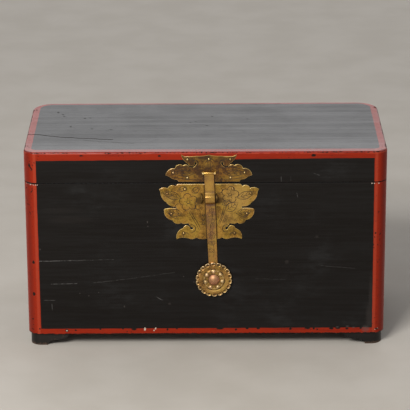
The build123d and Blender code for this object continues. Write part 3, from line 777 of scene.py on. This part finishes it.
# %% Helpers for brass
FITTINGS_X, PIN_HEIGHT = 7.5, 408.6  # millimetres
STRAP_LEAN = 2.3  # degrees
PLATE_FACE = FRONT_Y - 1.2 * MM
STRAP_FACE = FRONT_Y - 3.6 * MM  # the rosette is seated on it
DISC_HEIGHT = 3.85
DISC_FACE = STRAP_FACE - DISC_HEIGHT * MM
STAIN_TOUCH = 9 * MM
RING = 4.6  # the radius of the dark ring round a nail
BODY_NAILS = [(60.0, 370.5), (99.5, 360.5), (90.9, 314.0), (63.9, 267.8),
              (-45.0, 370.5), (-84.5, 360.5), (-75.9, 314.0), (-48.9, 267.8)]
LID_NAILS = [(7.5, 439.9), (54.3, 439.4), (85.9, 408.8), (55.0, 397.1),
             (-39.3, 439.4), (-70.9, 408.8), (-40.0, 397.1)]


def stains(*rows):
    """Rows of (x, height, half width, half height, strength), in millimetres, on the front fittings."""
    return [((x * MM, PLATE_FACE, z * MM), (wide * MM, STAIN_TOUCH, high * MM), strength)
            for x, z, wide, high, strength in rows]


def rings(places):
    """A dark ring close round each nail."""
    return stains(*[(x, z, RING, RING, 0.95) for x, z in places])


def painted_shadow_beside_strap(x, z):
    """Painted shadow along both edges of the leaning strap, from the pin down."""
    drop = PIN_HEIGHT * MM - z
    middle = drop * sin(radians(STRAP_LEAN)) + FITTINGS_X * MM
    return fade(abs(x - middle), 11.4 * MM, 15.0 * MM, 0.95, 0) * fade(drop, -2 * MM, 4 * MM)


def brass(name, tarnish, bright, middle, dark, polished, relief=0.12, dullness=0.3, grimy_and_shaded=(), tight=(),
          rubbed=(), foot=None, beside=False, worn=""):
    """Aged brass.  Grimy and shaded rows and rubbed rows are wide soft spots, tight ones are sharper, such as
    a dark ring round a nail or the painted shadow of a lock ear; foot is the Y of the surface that a head
    stands on, and the head darkens there; beside paints the strap's shadow along both its edges, and worn
    names an attribute of the mesh: 0 is dark, 0.5 plain and 1 rubbed."""
    made, shader, position = open_material(name)
    ragged = raggedness(position, 110.0, 0.9)
    # This darkening takes real grime and, where the rows or beside ask for it, painted shadow.
    grime = highest(spots(position, ragged, grimy_and_shaded, 0.45), spots(position, 0.0, tight, 0.35))
    shiny = spots(position, ragged, rubbed, 0.5)
    x, y, z = split(position)
    if foot is not None:
        grime = highest(grime, fade(abs(y - foot), 0.15 * MM, 1.1 * MM, 0.9, 0))
    # beside paints the strap's shadow on the plate: a dark band along each of its edges.
    if beside:
        grime = highest(grime, painted_shadow_beside_strap(x, z))
    if worn:
        wear = put(made.node_tree, "Attribute", out="Fac", attribute_name=worn)
        grime = highest(grime, fade(wear, 0.05, 0.45, 0.95, 0))
        shiny = highest(shiny, fade(wear, 0.55, 0.9))
    metal = place_group(aged_brass, Position=position, Bright=bright, Middle=middle, Dark=dark,
                        Polished=polished, Tarnish=tarnish, Grime=grime, Rubbed=shiny, Dullness=dullness)
    feed(shader, {"Base Color": metal["Color"], "Roughness": metal["Roughness"],
                  "Metallic": metal["Metal"], "Normal": bump(metal["Height"], relief * MM)})
    return made


print("nails ringed with dirt:", len(BODY_NAILS) + len(LID_NAILS))

# %% Materials: plates and hasp
GOLDEN, OCHRE, UMBER = (0.56, 0.335, 0.075, 1), (0.35, 0.195, 0.042, 1), (0.078, 0.040, 0.010, 1)
WORN_GOLD, PALE_GOLD = (0.68, 0.44, 0.14, 1), (0.86, 0.66, 0.38, 1)

plate_brass = brass(
    "brass of the body plate", 0.36, GOLDEN, OCHRE, UMBER, WORN_GOLD, beside=True,
    # The two tight stains beside the hump and the first two of the wide dark rows are painted shadows of the
    # lock ears, with some tarnish under them.
    tight=rings(BODY_NAILS) + stains((-13, 344, 10, 9, 0.9), (30, 345, 13, 8, 0.95)),
    rubbed=stains((70, 350, 30, 30, 0.5), (50, 300, 20, 22, 0.3), (-84, 350, 16, 12, 0.3)),
    grimy_and_shaded=stains((-9, 348, 9, 15, 0.6), (30, 348, 13, 14, 0.5), (-64, 371, 9, 5, 0.3),
                 (-30, 322, 9, 13, 0.3), (-2, 292, 7, 28, 0.4), (-47, 262, 9, 5, 0.35)))
lid_plate_brass = brass(
    "brass of the lid plate", 0.5, (0.35, 0.19, 0.046, 1), (0.18, 0.089, 0.033, 1),
    (0.043, 0.021, 0.012, 1), (0.48, 0.28, 0.06, 1), beside=True, tight=rings(LID_NAILS),
    rubbed=stains((67, 400, 22, 9, 0.6), (-30, 400, 18, 6, 0.25), (6, 427, 9, 6, 0.55)),
    grimy_and_shaded=stains((-2, 445, 16, 7, 0.85), (36, 440, 8, 7, 0.5), (-58, 416, 18, 9, 0.45),
                 (92, 412, 8, 8, 0.5)))
strap_brass = brass(
    "brass of the hasp", 0.26, (0.53, 0.31, 0.085, 1), (0.38, 0.205, 0.078, 1),
    (0.155, 0.080, 0.045, 1), (0.64, 0.385, 0.095, 1),
    rubbed=stains((FITTINGS_X, PIN_HEIGHT, 14, 5, 1.0), (8, 380, 9, 20, 0.7), (9.5, 349.5, 9, 6.5, 0.8),
                  (15, 224, 7, 16, 0.3)),
    # The first two wide dark rows are painted shade: the dark lines just over and just under the hump.
    grimy_and_shaded=stains((9, 365, 14, 3.6, 0.8), (9.7, 335, 14, 4, 0.9), (13, 262, 6, 14, 0.3)))
rosette_brass = brass(
    "brass of the rosette", 0.3, (0.53, 0.32, 0.10, 1), (0.31, 0.172, 0.055, 1),
    (0.040, 0.020, 0.009, 1), PALE_GOLD, relief=0.06, dullness=0.38, worn="wear")
print("materials:", plate_brass.name, lid_plate_brass.name, strap_brass.name, rosette_brass.name)

# %% Materials: small fittings
fitting_brass = brass("brass of the fittings", 0.5, GOLDEN, OCHRE, UMBER, WORN_GOLD, relief=0.05)
bright_brass = brass("brass of the pin and its eyes", 0.15, PALE_GOLD, GOLDEN, UMBER, PALE_GOLD,
                     relief=0.04)
# The lock ears are tarnished nearly black; their darkness is partly tarnish and partly painted shade, for the
# shade they stand in beside the hump.
ear_brass = brass("brass of the lock ears", 0.8, (0.15, 0.088, 0.028, 1), (0.08, 0.045, 0.016, 1),
                  (0.030, 0.017, 0.008, 1), OCHRE, relief=0.08, dullness=0.45)
rim_brass = brass("brass of the filed edges", 0.25, PALE_GOLD, WORN_GOLD, OCHRE, PALE_GOLD, relief=0.05,
                  dullness=0.36, grimy_and_shaded=stains((FITTINGS_X, 447, 38, 8, 0.9)))
nail_brass = brass("brass of the lid nails", 0.15, (0.62, 0.44, 0.22, 1), (0.44, 0.28, 0.11, 1), UMBER,
                   PALE_GOLD, relief=0.04, foot=PLATE_FACE)
dark_nail_brass = brass("brass of the body nails", 0.2, (0.56, 0.37, 0.16, 1), (0.38, 0.22, 0.08, 1),
                        (0.05, 0.027, 0.010, 1), GOLDEN, relief=0.04, dullness=0.22, foot=PLATE_FACE)
stud_brass = brass("brass of the studs", 0.0, (0.78, 0.58, 0.35, 1), (0.60, 0.42, 0.23, 1), UMBER,
                   PALE_GOLD, relief=0.04, dullness=0.46, foot=DISC_FACE + 0.5 * MM)
# foot darkens the boss where it meets the disc: a painted shadow round its base.
copper = brass("copper of the boss", 0.2, (0.57, 0.31, 0.185, 1), (0.41, 0.20, 0.11, 1),
               (0.13, 0.055, 0.03, 1), (0.72, 0.42, 0.28, 1), relief=0.10, dullness=0.5, foot=DISC_FACE)
print("brasses:", sum("brass" in made.name for made in bpy.data.materials), "and", copper.name)

# %% Give the carried parts their finishes
def dress(material, *nodes):
    for name in nodes:
        frame["nodes"][name].material_slots[0].material = material


dress(front_lacquer, "body_front_board", "lid_front_rim")
dress(back_lacquer, "body_back_board", "lid_back_rim")
dress(side_lacquer, "body_left_end", "body_right_end", "lid_left_rim", "lid_right_rim")
dress(feet_lacquer, *[f"foot_{y}_{x}" for y in ("front", "back") for x in ("left", "right")])
dress(bare_wood, "body_floor_board")
dress(nail_brass, "lid_plate_nails")
dress(dark_nail_brass, "body_plate_nails")
dress(ear_brass, "lock_ear_left", "lock_ear_right")
dress(stud_brass, "rosette_studs")
dress(copper, "rosette_boss")
dress(bright_brass, "hasp_eye_left", "hasp_eye_right", "hasp_hinge_pin")
dress(fitting_brass, "lid_hinge_nails", "body_hinge_nails")
for side in ("left", "right"):
    dress(fitting_brass, f"hinge_{side}_lid_leaf", f"hinge_{side}_body_leaf", f"hinge_{side}_pin")

floor_paint, shader, position = open_material("pale floor", Roughness=0.7)
speckle = fade(noise(position, 6.0, 4), 0.3, 0.7)
feed(shader, {"Base Color": mingle(speckle, (0.47, 0.43, 0.37, 1), (0.51, 0.47, 0.41, 1))})
floor.data.materials.append(floor_paint)
print("carried parts dressed:", len(frame["nodes"]))

# %% [markdown]
# ## Words for modelling
# A piece whose outline is already drawn starts from a copy of its solid part.  The copy's triangles are
# merged and its flat faces made whole, so that it can be bevelled and engraved as if cut by hand.

# %% Helpers for modelling
def calm():
    """Leave edit mode and select nothing, because an operator acts on all that is selected."""
    if bpy.context.object and bpy.context.object.mode != "OBJECT":
        bpy.ops.object.mode_set(mode="OBJECT")
    bpy.ops.object.select_all(action="DESELECT")


def pick(piece, edit=False):
    """Make one piece the only selected and active one, in edit mode if asked."""
    calm()
    piece.select_set(True)
    bpy.context.view_layer.objects.active = piece
    if edit:
        bpy.ops.object.mode_set(mode="EDIT")
        bpy.ops.mesh.select_all(action="SELECT")


def start_from(node, name):
    """A merged copy of a part, free to be modelled on."""
    pick(frame["nodes"][node])
    bpy.ops.object.duplicate()
    twin = bpy.context.object
    bpy.ops.object.parent_clear(type="CLEAR_KEEP_TRANSFORM")
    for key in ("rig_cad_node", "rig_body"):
        del twin[key]
    twin.name = twin.data.name = name
    pick(twin, edit=True)
    bpy.ops.mesh.remove_doubles(threshold=0.002 * MM)
    bpy.ops.mesh.dissolve_limited(angle_limit=radians(0.4))
    bpy.ops.mesh.customdata_custom_splitnormals_clear()
    calm()
    return twin


def select_edges(piece, wanted):
    """In edit mode, select the edges that a test on their two faces picks."""
    bpy.ops.mesh.select_mode(type="EDGE")
    bpy.ops.mesh.select_all(action="DESELECT")
    shape = bmesh.from_edit_mesh(piece.data)
    count = 0
    for edge in shape.edges:
        if len(edge.link_faces) == 2 and wanted(edge):
            edge.select_set(True)
            count += 1
    shape.select_flush_mode()
    bmesh.update_edit_mesh(piece.data)
    return count


def apply_modifier(piece, kind, **settings):
    pick(piece)
    made = piece.modifiers.new(kind.lower(), kind)
    for label, value in settings.items():
        setattr(made, label, value)
    bpy.ops.object.modifier_apply(modifier=made.name)


def smooth(piece, degrees=35):
    pick(piece)
    bpy.ops.object.shade_smooth_by_angle(angle=radians(degrees))


def flatten_face(piece, facing=(0, -1, 0)):
    """Shade the flat face of a smooth piece flat, so that no groove's shading runs across it."""
    pick(piece, edit=True)
    bpy.ops.mesh.select_mode(type="FACE")
    bpy.ops.mesh.select_all(action="DESELECT")
    shape = bmesh.from_edit_mesh(piece.data)
    for face in shape.faces:
        face.select_set(face.normal.dot(Vector(facing)) > 0.9998)
    bmesh.update_edit_mesh(piece.data)
    bpy.ops.mesh.faces_shade_flat()
    calm()


def place_on(piece, body, slot, *nodes):
    """Let a finished piece ride on a body and stand for its solid parts, which it hides.  The slot is not
    used.
    """
    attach(piece, body)
    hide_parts(*nodes)
    print(piece.name, "faces:", len(piece.data.polygons), "rides on", body)


# %% [markdown]
# ## A graver's strokes
# A graver cuts a groove that starts thin, swells and ends thin.  Each stroke is a curve with a round
# section whose radius swells in the middle.  All strokes of a plate become one mesh, and a boolean
# cut takes them out of the plate, so the lines are real grooves.  The cutter's own finish goes with
# it: the groove's walls come out dark, as old engraving is with polish and soot.

# %% Helpers for engraving
def arc(centre, radius, start, sweep, count=7):
    """Points round a centre, in degrees, counter-clockwise for a positive sweep."""
    angles = [radians(start + sweep * index / (count - 1)) for index in range(count)]
    return [(centre[0] + radius * cos(angle), centre[1] + radius * sin(angle)) for angle in angles]


def between(base, tip, rows):
    """Points given along and beside the way from base to tip, as shares of its length."""
    dx, dz = tip[0] - base[0], tip[1] - base[1]
    return [(base[0] + along * dx - beside * dz, base[1] + along * dz + beside * dx)
            for along, beside in rows]


def leaf(base, tip, width=0.22, veins=3):
    """A pointed leaf with its midrib and pairs of side veins."""
    strokes = [between(base, tip, [(0, 0), (0.25, side * width), (0.6, side * width * 0.95), (1, 0)])
               for side in (-1, 1)]
    strokes.append(between(base, tip, [(0.0, 0), (0.4, 0.02), (0.85, 0)]))
    for index in range(veins):
        root = 0.2 + 0.5 * index / max(veins - 1, 1)
        reach = min(1.0, 1.6 * (1 - root))  # the leaf narrows towards its tip, and so do its veins
        for aside in (-width * reach, width * reach):
            vein = [(root, 0), (root + 0.09 * reach, aside * 0.4), (root + 0.2 * reach, aside * 0.72)]
            strokes.append(between(base, tip, vein))
    return strokes


def blossom(centre, radius, turn=90.0):
    """A plum blossom: five round petals, a small middle and its stamens."""
    strokes = []
    for index in range(5):
        angle = turn + 72 * index
        middle = arc(centre, radius * 0.6, angle, 1, 2)[0]
        strokes.append(arc(middle, radius * 0.42, angle - 108, 216, 9))
        strokes.append([arc(centre, radius * share, angle, 1, 2)[0] for share in (0.26, 0.38, 0.52)])
    strokes.append(arc(centre, radius * 0.19, turn, 350, 9))
    return strokes


def stems(points, gap, count=2):
    """The same line drawn a few times side by side, as a graver follows its own first cut."""
    return [[(x + gap * index, z + 0.35 * gap * index) for x, z in points] for index in range(count)]


def beads(points, radius):
    """A row of small rings."""
    return [arc(point, radius, 100, 330, 8) for point in points]


def cutter_of(strokes, to_space, radius, name="graver", taper=0.35):
    """One mesh from all strokes.  to_space turns a stroke's point into a place in the room."""
    calm()
    bpy.ops.curve.primitive_nurbs_path_add()
    made = bpy.context.object
    made.name = name
    made.data.splines.clear()
    made.data.bevel_depth = radius
    made.data.bevel_resolution = 1
    made.data.use_fill_caps = True
    for points in strokes:
        line = made.data.splines.new("NURBS")
        line.points.add(len(points) - 1)
        for index, point in enumerate(points):
            line.points[index].co = (*to_space(*point), 1)
            swell = sin(pi * index / (len(points) - 1)) ** 0.5 if len(points) > 2 else 1.0
            line.points[index].radius = taper + (1 - taper) * swell
        line.order_u = min(3, len(points))
        line.use_endpoint_u = True
        line.resolution_u = 3
    pick(made)
    bpy.ops.object.convert(target="MESH")
    return bpy.context.object


def engrave(piece, cutter, groove_finish):
    """Cut a cutter out of a piece and give the walls of the cut their own finish."""
    cutter.data.materials.clear()
    cutter.data.materials.append(groove_finish)
    before = len(piece.data.polygons)
    apply_modifier(piece, "BOOLEAN", object=cutter, operation="DIFFERENCE", solver="EXACT",
                   use_self=True, material_mode="TRANSFER")
    bpy.data.objects.remove(cutter)
    print(piece.name, "faces before and after the cut:", before, len(piece.data.polygons))

# %% Material: the dirt in a groove
groove_grime, shader, position = open_material("grime in the grooves", Metallic=0.3)
grit = noise(position, 700.0, 2)
feed(shader, {
    "Base Color": mingle(grit, (0.018, 0.010, 0.005, 1), (0.042, 0.024, 0.010, 1)),
    "Roughness": grit * 0.2 + 0.6,
})
print("material:", groove_grime.name)

# %% [markdown]
# ## The two lock plates
# Each plate is cut from sheet a little over a millimetre thick, like a butterfly seen from above.  Its
# front edge was filed round, and that soft edge is what catches the light.  Plum blossoms, leaves and
# stems are engraved on the wings, and curls follow the slits.

# %% Model: lock plates
PLATE_GRAVER, STRAP_GRAVER = 0.84 * MM, 0.5 * MM  # half the widest part of a stroke
ABOVE_FACE = 0.12 * MM  # a stroke's middle stands off the metal, so that the cut is shallow
RIM_ROUND, STRAP_ROUND = 0.75 * MM, 0.45 * MM


def on_plate(x, z):
    """A stroke's point just in front of the plates' faces."""
    return (x * MM, PLATE_FACE - ABOVE_FACE, z * MM)


def mirrored(strokes):
    """The same strokes on the other side of the fittings' middle."""
    return [[(2 * FITTINGS_X - x, z) for x, z in points] for points in strokes]


def is_front_rim(edge):
    """An edge between a front face and a side wall."""
    facing = sorted(face.normal.y for face in edge.link_faces)
    return facing[0] < -0.99 and abs(facing[1]) < 0.1


def plate(node, strokes, finish):
    """A lock plate with a filed rim and its engraving, from its solid part."""
    made = start_from(node, node + "_engraved")
    made.data.materials.clear()
    made.data.materials.append(finish)
    made.data.materials.append(rim_brass)
    pick(made, edit=True)
    count = select_edges(made, is_front_rim)
    bpy.ops.mesh.bevel(offset=RIM_ROUND, segments=4, profile=0.5, clamp_overlap=False, material=1)
    calm()
    engrave(made, cutter_of(strokes, on_plate, PLATE_GRAVER), groove_grime)
    smooth(made)
    flatten_face(made)
    print(node, "rim edges:", count, "strokes:", len(strokes))
    return made


wing = (
    leaf((-54, 350), (-96, 364), 0.2, 3)
    + leaf((-52, 314), (-88, 318), 0.24, 3)
    + [arc((-31, 279), 9, 120, -235, 9), arc((-43, 262), 7, 20, 190, 7)]
    + [[(-60, 300), (-70, 303), (-80, 311), (-86, 322)]]
    + beads([(-5, 311), (-5.5, 301), (-5, 291)], 3.1)
)
left_spray = (
    blossom((-38, 341), 20, 100)
    + stems([(-38, 320), (-31, 306), (-21, 290), (-14, 274)], 4.0)
    + [arc((-17, 330), 6.5, 50, 300, 9), arc((-60, 330), 7, 60, 200, 7)]
    + leaf((-30, 362), (-12, 376), 0.3, 2)
    + leaf((-62, 366), (-40, 378), 0.22, 2)
)
right_spray = (
    blossom((54, 358), 19, 80)
    + leaf((44, 320), (72, 340), 0.3, 3)
    + leaf((36, 334), (58, 346), 0.24, 2)
    + stems([(42, 338), (39, 322), (34, 304), (26, 286)], 3.6)
    + stems([(44, 309), (40, 300), (37, 291)], 3.4, 3)
    + [arc((30, 368), 7, 200, 230, 7)]
)
body_plate = plate("body_lock_plate", wing + mirrored(wing) + left_spray + right_spray, plate_brass)
place_on(body_plate, "chest", "plate_brass", "body_lock_plate")

lid_wing = (
    leaf((-24, 408), (-74, 408), 0.15, 3)
    + [arc((-22.5, 431), 7, 150, -230, 8), [(-14, 420), (-26, 420), (-40, 424), (-58, 419), (-78, 413)]]
    + [[(-16, 436), (-26, 441), (-40, 440)], [(-14, 394.5), (-34, 393), (-56, 395), (-70, 399)]]
)
lid_middle = (
    [arc((FITTINGS_X, 428), 9, 20, 140, 7), arc((FITTINGS_X, 428), 14, 30, 120, 7)]
    + stems([(FITTINGS_X - 4, 416), (FITTINGS_X - 4, 424), (FITTINGS_X - 3, 434)], 3.6, 3)
)
lid_plate = plate("lid_lock_plate", lid_wing + mirrored(lid_wing) + lid_middle, lid_plate_brass)
place_on(lid_plate, "lid", "plate_brass", "lid_lock_plate")

# %% [markdown]
# ## The hasp
# The hasp is one bar of brass, rolled round its pin at the top, bent into a hump over the padlock's bar,
# and flattened under the rosette.  Long use has rounded its edges.  A running stem with leaves is
# engraved on its lower half.

# %% Model: hasp
STEM_START, STEM_WAVE = 208, 42  # where the running stem starts, and how long half a wave of it is


def on_strap(across, z):
    """A stroke's point on the leaning strap: across its middle line, at a height."""
    middle = FITTINGS_X + (PIN_HEIGHT - z) * sin(radians(STRAP_LEAN))
    return ((middle + across) * MM, STRAP_FACE - ABOVE_FACE, z * MM)


strap = start_from("hasp_strap", "hasp_strap_worn")
apply_modifier(strap, "BEVEL", width=STRAP_ROUND, segments=3, limit_method="ANGLE",
               angle_limit=radians(50), use_clamp_overlap=False)
starts = (STEM_START, STEM_START + STEM_WAVE, STEM_START + 2 * STEM_WAVE)
stem = [[(3.8 * sin((z - STEM_START) / STEM_WAVE * pi), z) for z in range(start, start + 43, 6)]
        for start in starts]
strap_strokes = stem + [points for z in (222, 306) for points in leaf((2.5, z), (-7, z + 12), 0.3, 2)]
strap_strokes += [points for z in (240, 282, 316) for points in leaf((-2.5, z), (7, z + 12), 0.3, 2)]
strap_strokes += blossom((0, 264), 8.2)
strap_strokes += [arc((3, 298), 4.5, 200, 260, 8), arc((-4, 246), 4, 20, 260, 8)]
strap.data.materials.clear()
strap.data.materials.append(strap_brass)
engrave(strap, cutter_of(strap_strokes, on_strap, STRAP_GRAVER), groove_grime)
smooth(strap)
flatten_face(strap)
place_on(strap, "hasp", "hasp_brass", "hasp_strap")

# %% [markdown]
# ## The rosette
# A chrysanthemum was hammered into a thick disc from a die: eighteen spoon-shaped petals round a smooth
# band, a groove, and a raised middle that carries the studs and the copper boss.  Each stud has pressed
# up a low collar.  Outside the collars and round the boss the metal is darkened: some grime, and painted
# shadow.  A flat grid is rolled into a ring: one way runs round the disc, the other runs over its face,
# down its edge and back underneath.  Each point then gets its height from the same few rules that a
# die-sinker would follow.

# %% Rules of the rosette's relief
PETALS = 18
TIP_RADIUS, CLEFT_RADIUS, HOLE_RADIUS = 40.5, 37.6, 2.6  # all of these are millimetres
PETAL_START, HOLLOW_RING, BEAD_RING = 32.0, 36.0, 36.9
BAND_RING, GROOVE_RING, RIM_RING, BOSS_RIM_RING = 30.0, 24.7, 21.4, 13.6
HOLLOW_LONG, HOLLOW_WIDE = 3.8, 4.7
STUDS, STUD_RING, STUD_RADIUS, BOSS_RADIUS = 7, 18.9, 3.5, 12.5
PLAIN, COLLAR_RISE, EDGE_HEIGHT = 0.5, 0.2, 0.7


def petal_reach(share):
    """How far out the petals' edge is, where share runs from -1 to 1 across one petal."""
    half = pi / PETALS
    chord = CLEFT_RADIUS * cos(half) / cos(share * half)
    return chord + (TIP_RADIUS - CLEFT_RADIUS * cos(half)) * sqrt(max(0.0, 1 - share * share))


def bell(value, middle, width):
    """A smooth bump of height one."""
    gap = (value - middle) / width
    return (1 - gap * gap) ** 2 if abs(gap) < 1 else 0.0


def step(value, start, end):
    """A soft step from 0 at start to 1 at end."""
    part = min(1.0, max(0.0, (value - start) / (end - start)))
    return part * part * (3 - 2 * part)


def relief(radius, share, reach):
    """The height of the disc's face in millimetres, and its wear: 0 is dirty, 0.5 plain, 1 rubbed."""
    across = share * radius * pi / PETALS
    hollow = hypot((radius - HOLLOW_RING) / HOLLOW_LONG, across / HOLLOW_WIDE)
    dip = (1 - min(1.0, hollow) ** 2) ** 2
    ridge = bell(hollow, 1.04, 0.34)
    cleft = abs(share) ** 7 * step(radius, PETAL_START, 35.0)
    bead = bell(hypot(radius - BEAD_RING, across), 0.0, 1.5)
    height = DISC_HEIGHT - 0.9 * step(radius, 22.0, 24.4) + 0.55 * step(radius, 25.0, 28.0)
    height += 0.45 * bell(radius, BAND_RING, 4.2) + 0.3 * bell(radius, RIM_RING, 1.1)
    height += 0.2 * bell(radius, BOSS_RIM_RING, 1.0) + 0.5 * ridge + 0.8 * bead
    height -= 0.5 * step(radius, PETAL_START, reach) + 1.7 * dip + 1.3 * cleft
    height -= 0.9 * step(radius, reach - 1.1, reach) ** 2
    wear = PLAIN + 0.42 * ridge * step(radius, 34.0, 37.5) + 0.75 * bead
    wear += 0.3 * bell(radius, RIM_RING, 1.3)
    wear -= 0.62 * max(dip, cleft) + 0.2 * bell(radius, GROOVE_RING, 2.8)
    return height, wear


def round_studs(radius, angle):
    """The collar that each stud has pressed up, and the darkening outside the collars and round the boss:
    grime, and painted shadow.
    """
    turn = (angle / tau * STUDS + 0.5) % 1.0 - 0.5
    from_stud = hypot(radius - STUD_RING, turn * tau / STUDS * STUD_RING)
    collar = 1 - step(from_stud, STUD_RADIUS + 0.4, STUD_RADIUS + 1.2)
    # Painted shadow: a dark ring round the boss.  Outside each collar a ring that is partly grime and partly
    # painted shade.
    shadow_round_boss = 1 - step(radius, BOSS_RADIUS + 0.2, BOSS_RADIUS + 2)
    dirt_and_shade = max(bell(from_stud, STUD_RADIUS + 2.1, 1.7), shadow_round_boss)
    return collar, dirt_and_shade * (1 - collar)


print("petals:", PETALS, "studs:", STUDS)

# %% Model: rosette
ROUND_STEPS, FACE_STEPS = PETALS * 16, 64
ROWS = FACE_STEPS + 4  # the last four rows of the grid make the edge and the back

calm()
bpy.ops.mesh.primitive_grid_add(x_subdivisions=ROUND_STEPS, y_subdivisions=ROWS, size=2)
rosette = bpy.context.object
rosette.name = rosette.data.name = "hasp_rosette_relief"
wear_values = rosette.data.attributes.new("wear", "FLOAT", "POINT")
seat_low, seat_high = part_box("hasp_rosette")
seat = (seat_low + seat_high) / 2
for vertex in rosette.data.vertices:
    from_top = (vertex.co.x + 1) / 2 * tau
    row = round((vertex.co.y + 1) / 2 * ROWS)
    share = ((from_top / tau * PETALS + 0.5) % 1.0) * 2 - 1
    reach = petal_reach(share)
    radius = HOLE_RADIUS + (reach - HOLE_RADIUS) * min(row, FACE_STEPS) / FACE_STEPS
    out, wear = relief(radius, share, reach)
    collar, dirt_and_shade = round_studs(radius, from_top)
    out += COLLAR_RISE * collar
    wear += 0.18 * collar - 0.36 * dirt_and_shade
    if row > FACE_STEPS:
        radius = reach if row < FACE_STEPS + 3 else HOLE_RADIUS
        out = {1: EDGE_HEIGHT, 2: 0.0, 3: 0.0, 4: relief(HOLE_RADIUS, share, reach)[0]}[row - FACE_STEPS]
        wear = 0.3
    turn = from_top + radians(90 + STRAP_LEAN)
    across, up = radius * cos(turn) * MM, radius * sin(turn) * MM
    vertex.co = (seat.x + across, STRAP_FACE - out * MM, seat.z + up)
    wear_values.data[vertex.index].value = wear
pick(rosette, edit=True)
bpy.ops.mesh.remove_doubles(threshold=0.01 * MM)
bpy.ops.mesh.normals_make_consistent(inside=False)
calm()
rosette.data.materials.append(rosette_brass)
smooth(rosette, 50)
place_on(rosette, "hasp", "hasp_brass", "hasp_rosette")

# %% [markdown]
# ## The split in the lid
# The lid's board has shrunk and split from its left end, through border and field alike.  The split is a
# jagged curve, thick where it starts and a hair where it ends, stretched downwards into a blade and cut
# out of the board.

# %% Model: lid board with its split
split_wood, shader, position = open_material("wood in the split", Roughness=0.9)
streaks = place_group(grain, Position=position, Stretch=ALONG_X)
dark_wood = mingle(streaks["Fine"], (0.004, 0.003, 0.002, 1), (0.016, 0.009, 0.006, 1))
feed(shader, {"Base Color": dark_wood})

WIDE_SPLIT = [
    (-402, -49.5), (-391, -50), (-384, -50), (-372, -52), (-364, -57), (-352, -62), (-345, -65),
    (-335, -66), (-325, -72), (-310, -74.5), (-295, -76), (-285, -81), (-270, -82.5), (-258, -82),
    (-246, -84), (-238, -88.5), (-222, -90), (-205, -91),
]
HAIR_SPLIT = [(-271, -98.5), (-255, -101), (-240, -104), (-215, -108), (-200, -112), (-190, -115),
              (-175, -118), (-158, -121)]
# Each split's path, half width, how much deeper than wide, and how far left of the middle its blade is
# thinnest and fullest.
SPLITS = ((WIDE_SPLIT, 1.7, 4.0, 200, 285), (HAIR_SPLIT, 0.6, 4.5, 140, 160))
THINNEST = 0.3

lid_board = start_from("lid_top_board", "lid_top_board_split")
lid_board.data.materials.clear()
lid_board.data.materials.append(top_lacquer)
for path, half, deep, thinnest_at, fullest_at in SPLITS:
    blade = cutter_of([path], lambda x, y: (x * MM, y * MM, LID_TOP), half * MM, "blade", taper=1.0)
    for vertex in blade.data.vertices:
        thin = THINNEST + (1 - THINNEST) * step(-vertex.co.x / MM, thinnest_at, fullest_at)
        vertex.co.z = LID_TOP + (vertex.co.z - LID_TOP) * deep * thin
    engrave(lid_board, blade, split_wood)
smooth(lid_board, 30)
flatten_face(lid_board, (0, 0, 1))
place_on(lid_board, "lid", "lacquered_wood", "lid_top_board")
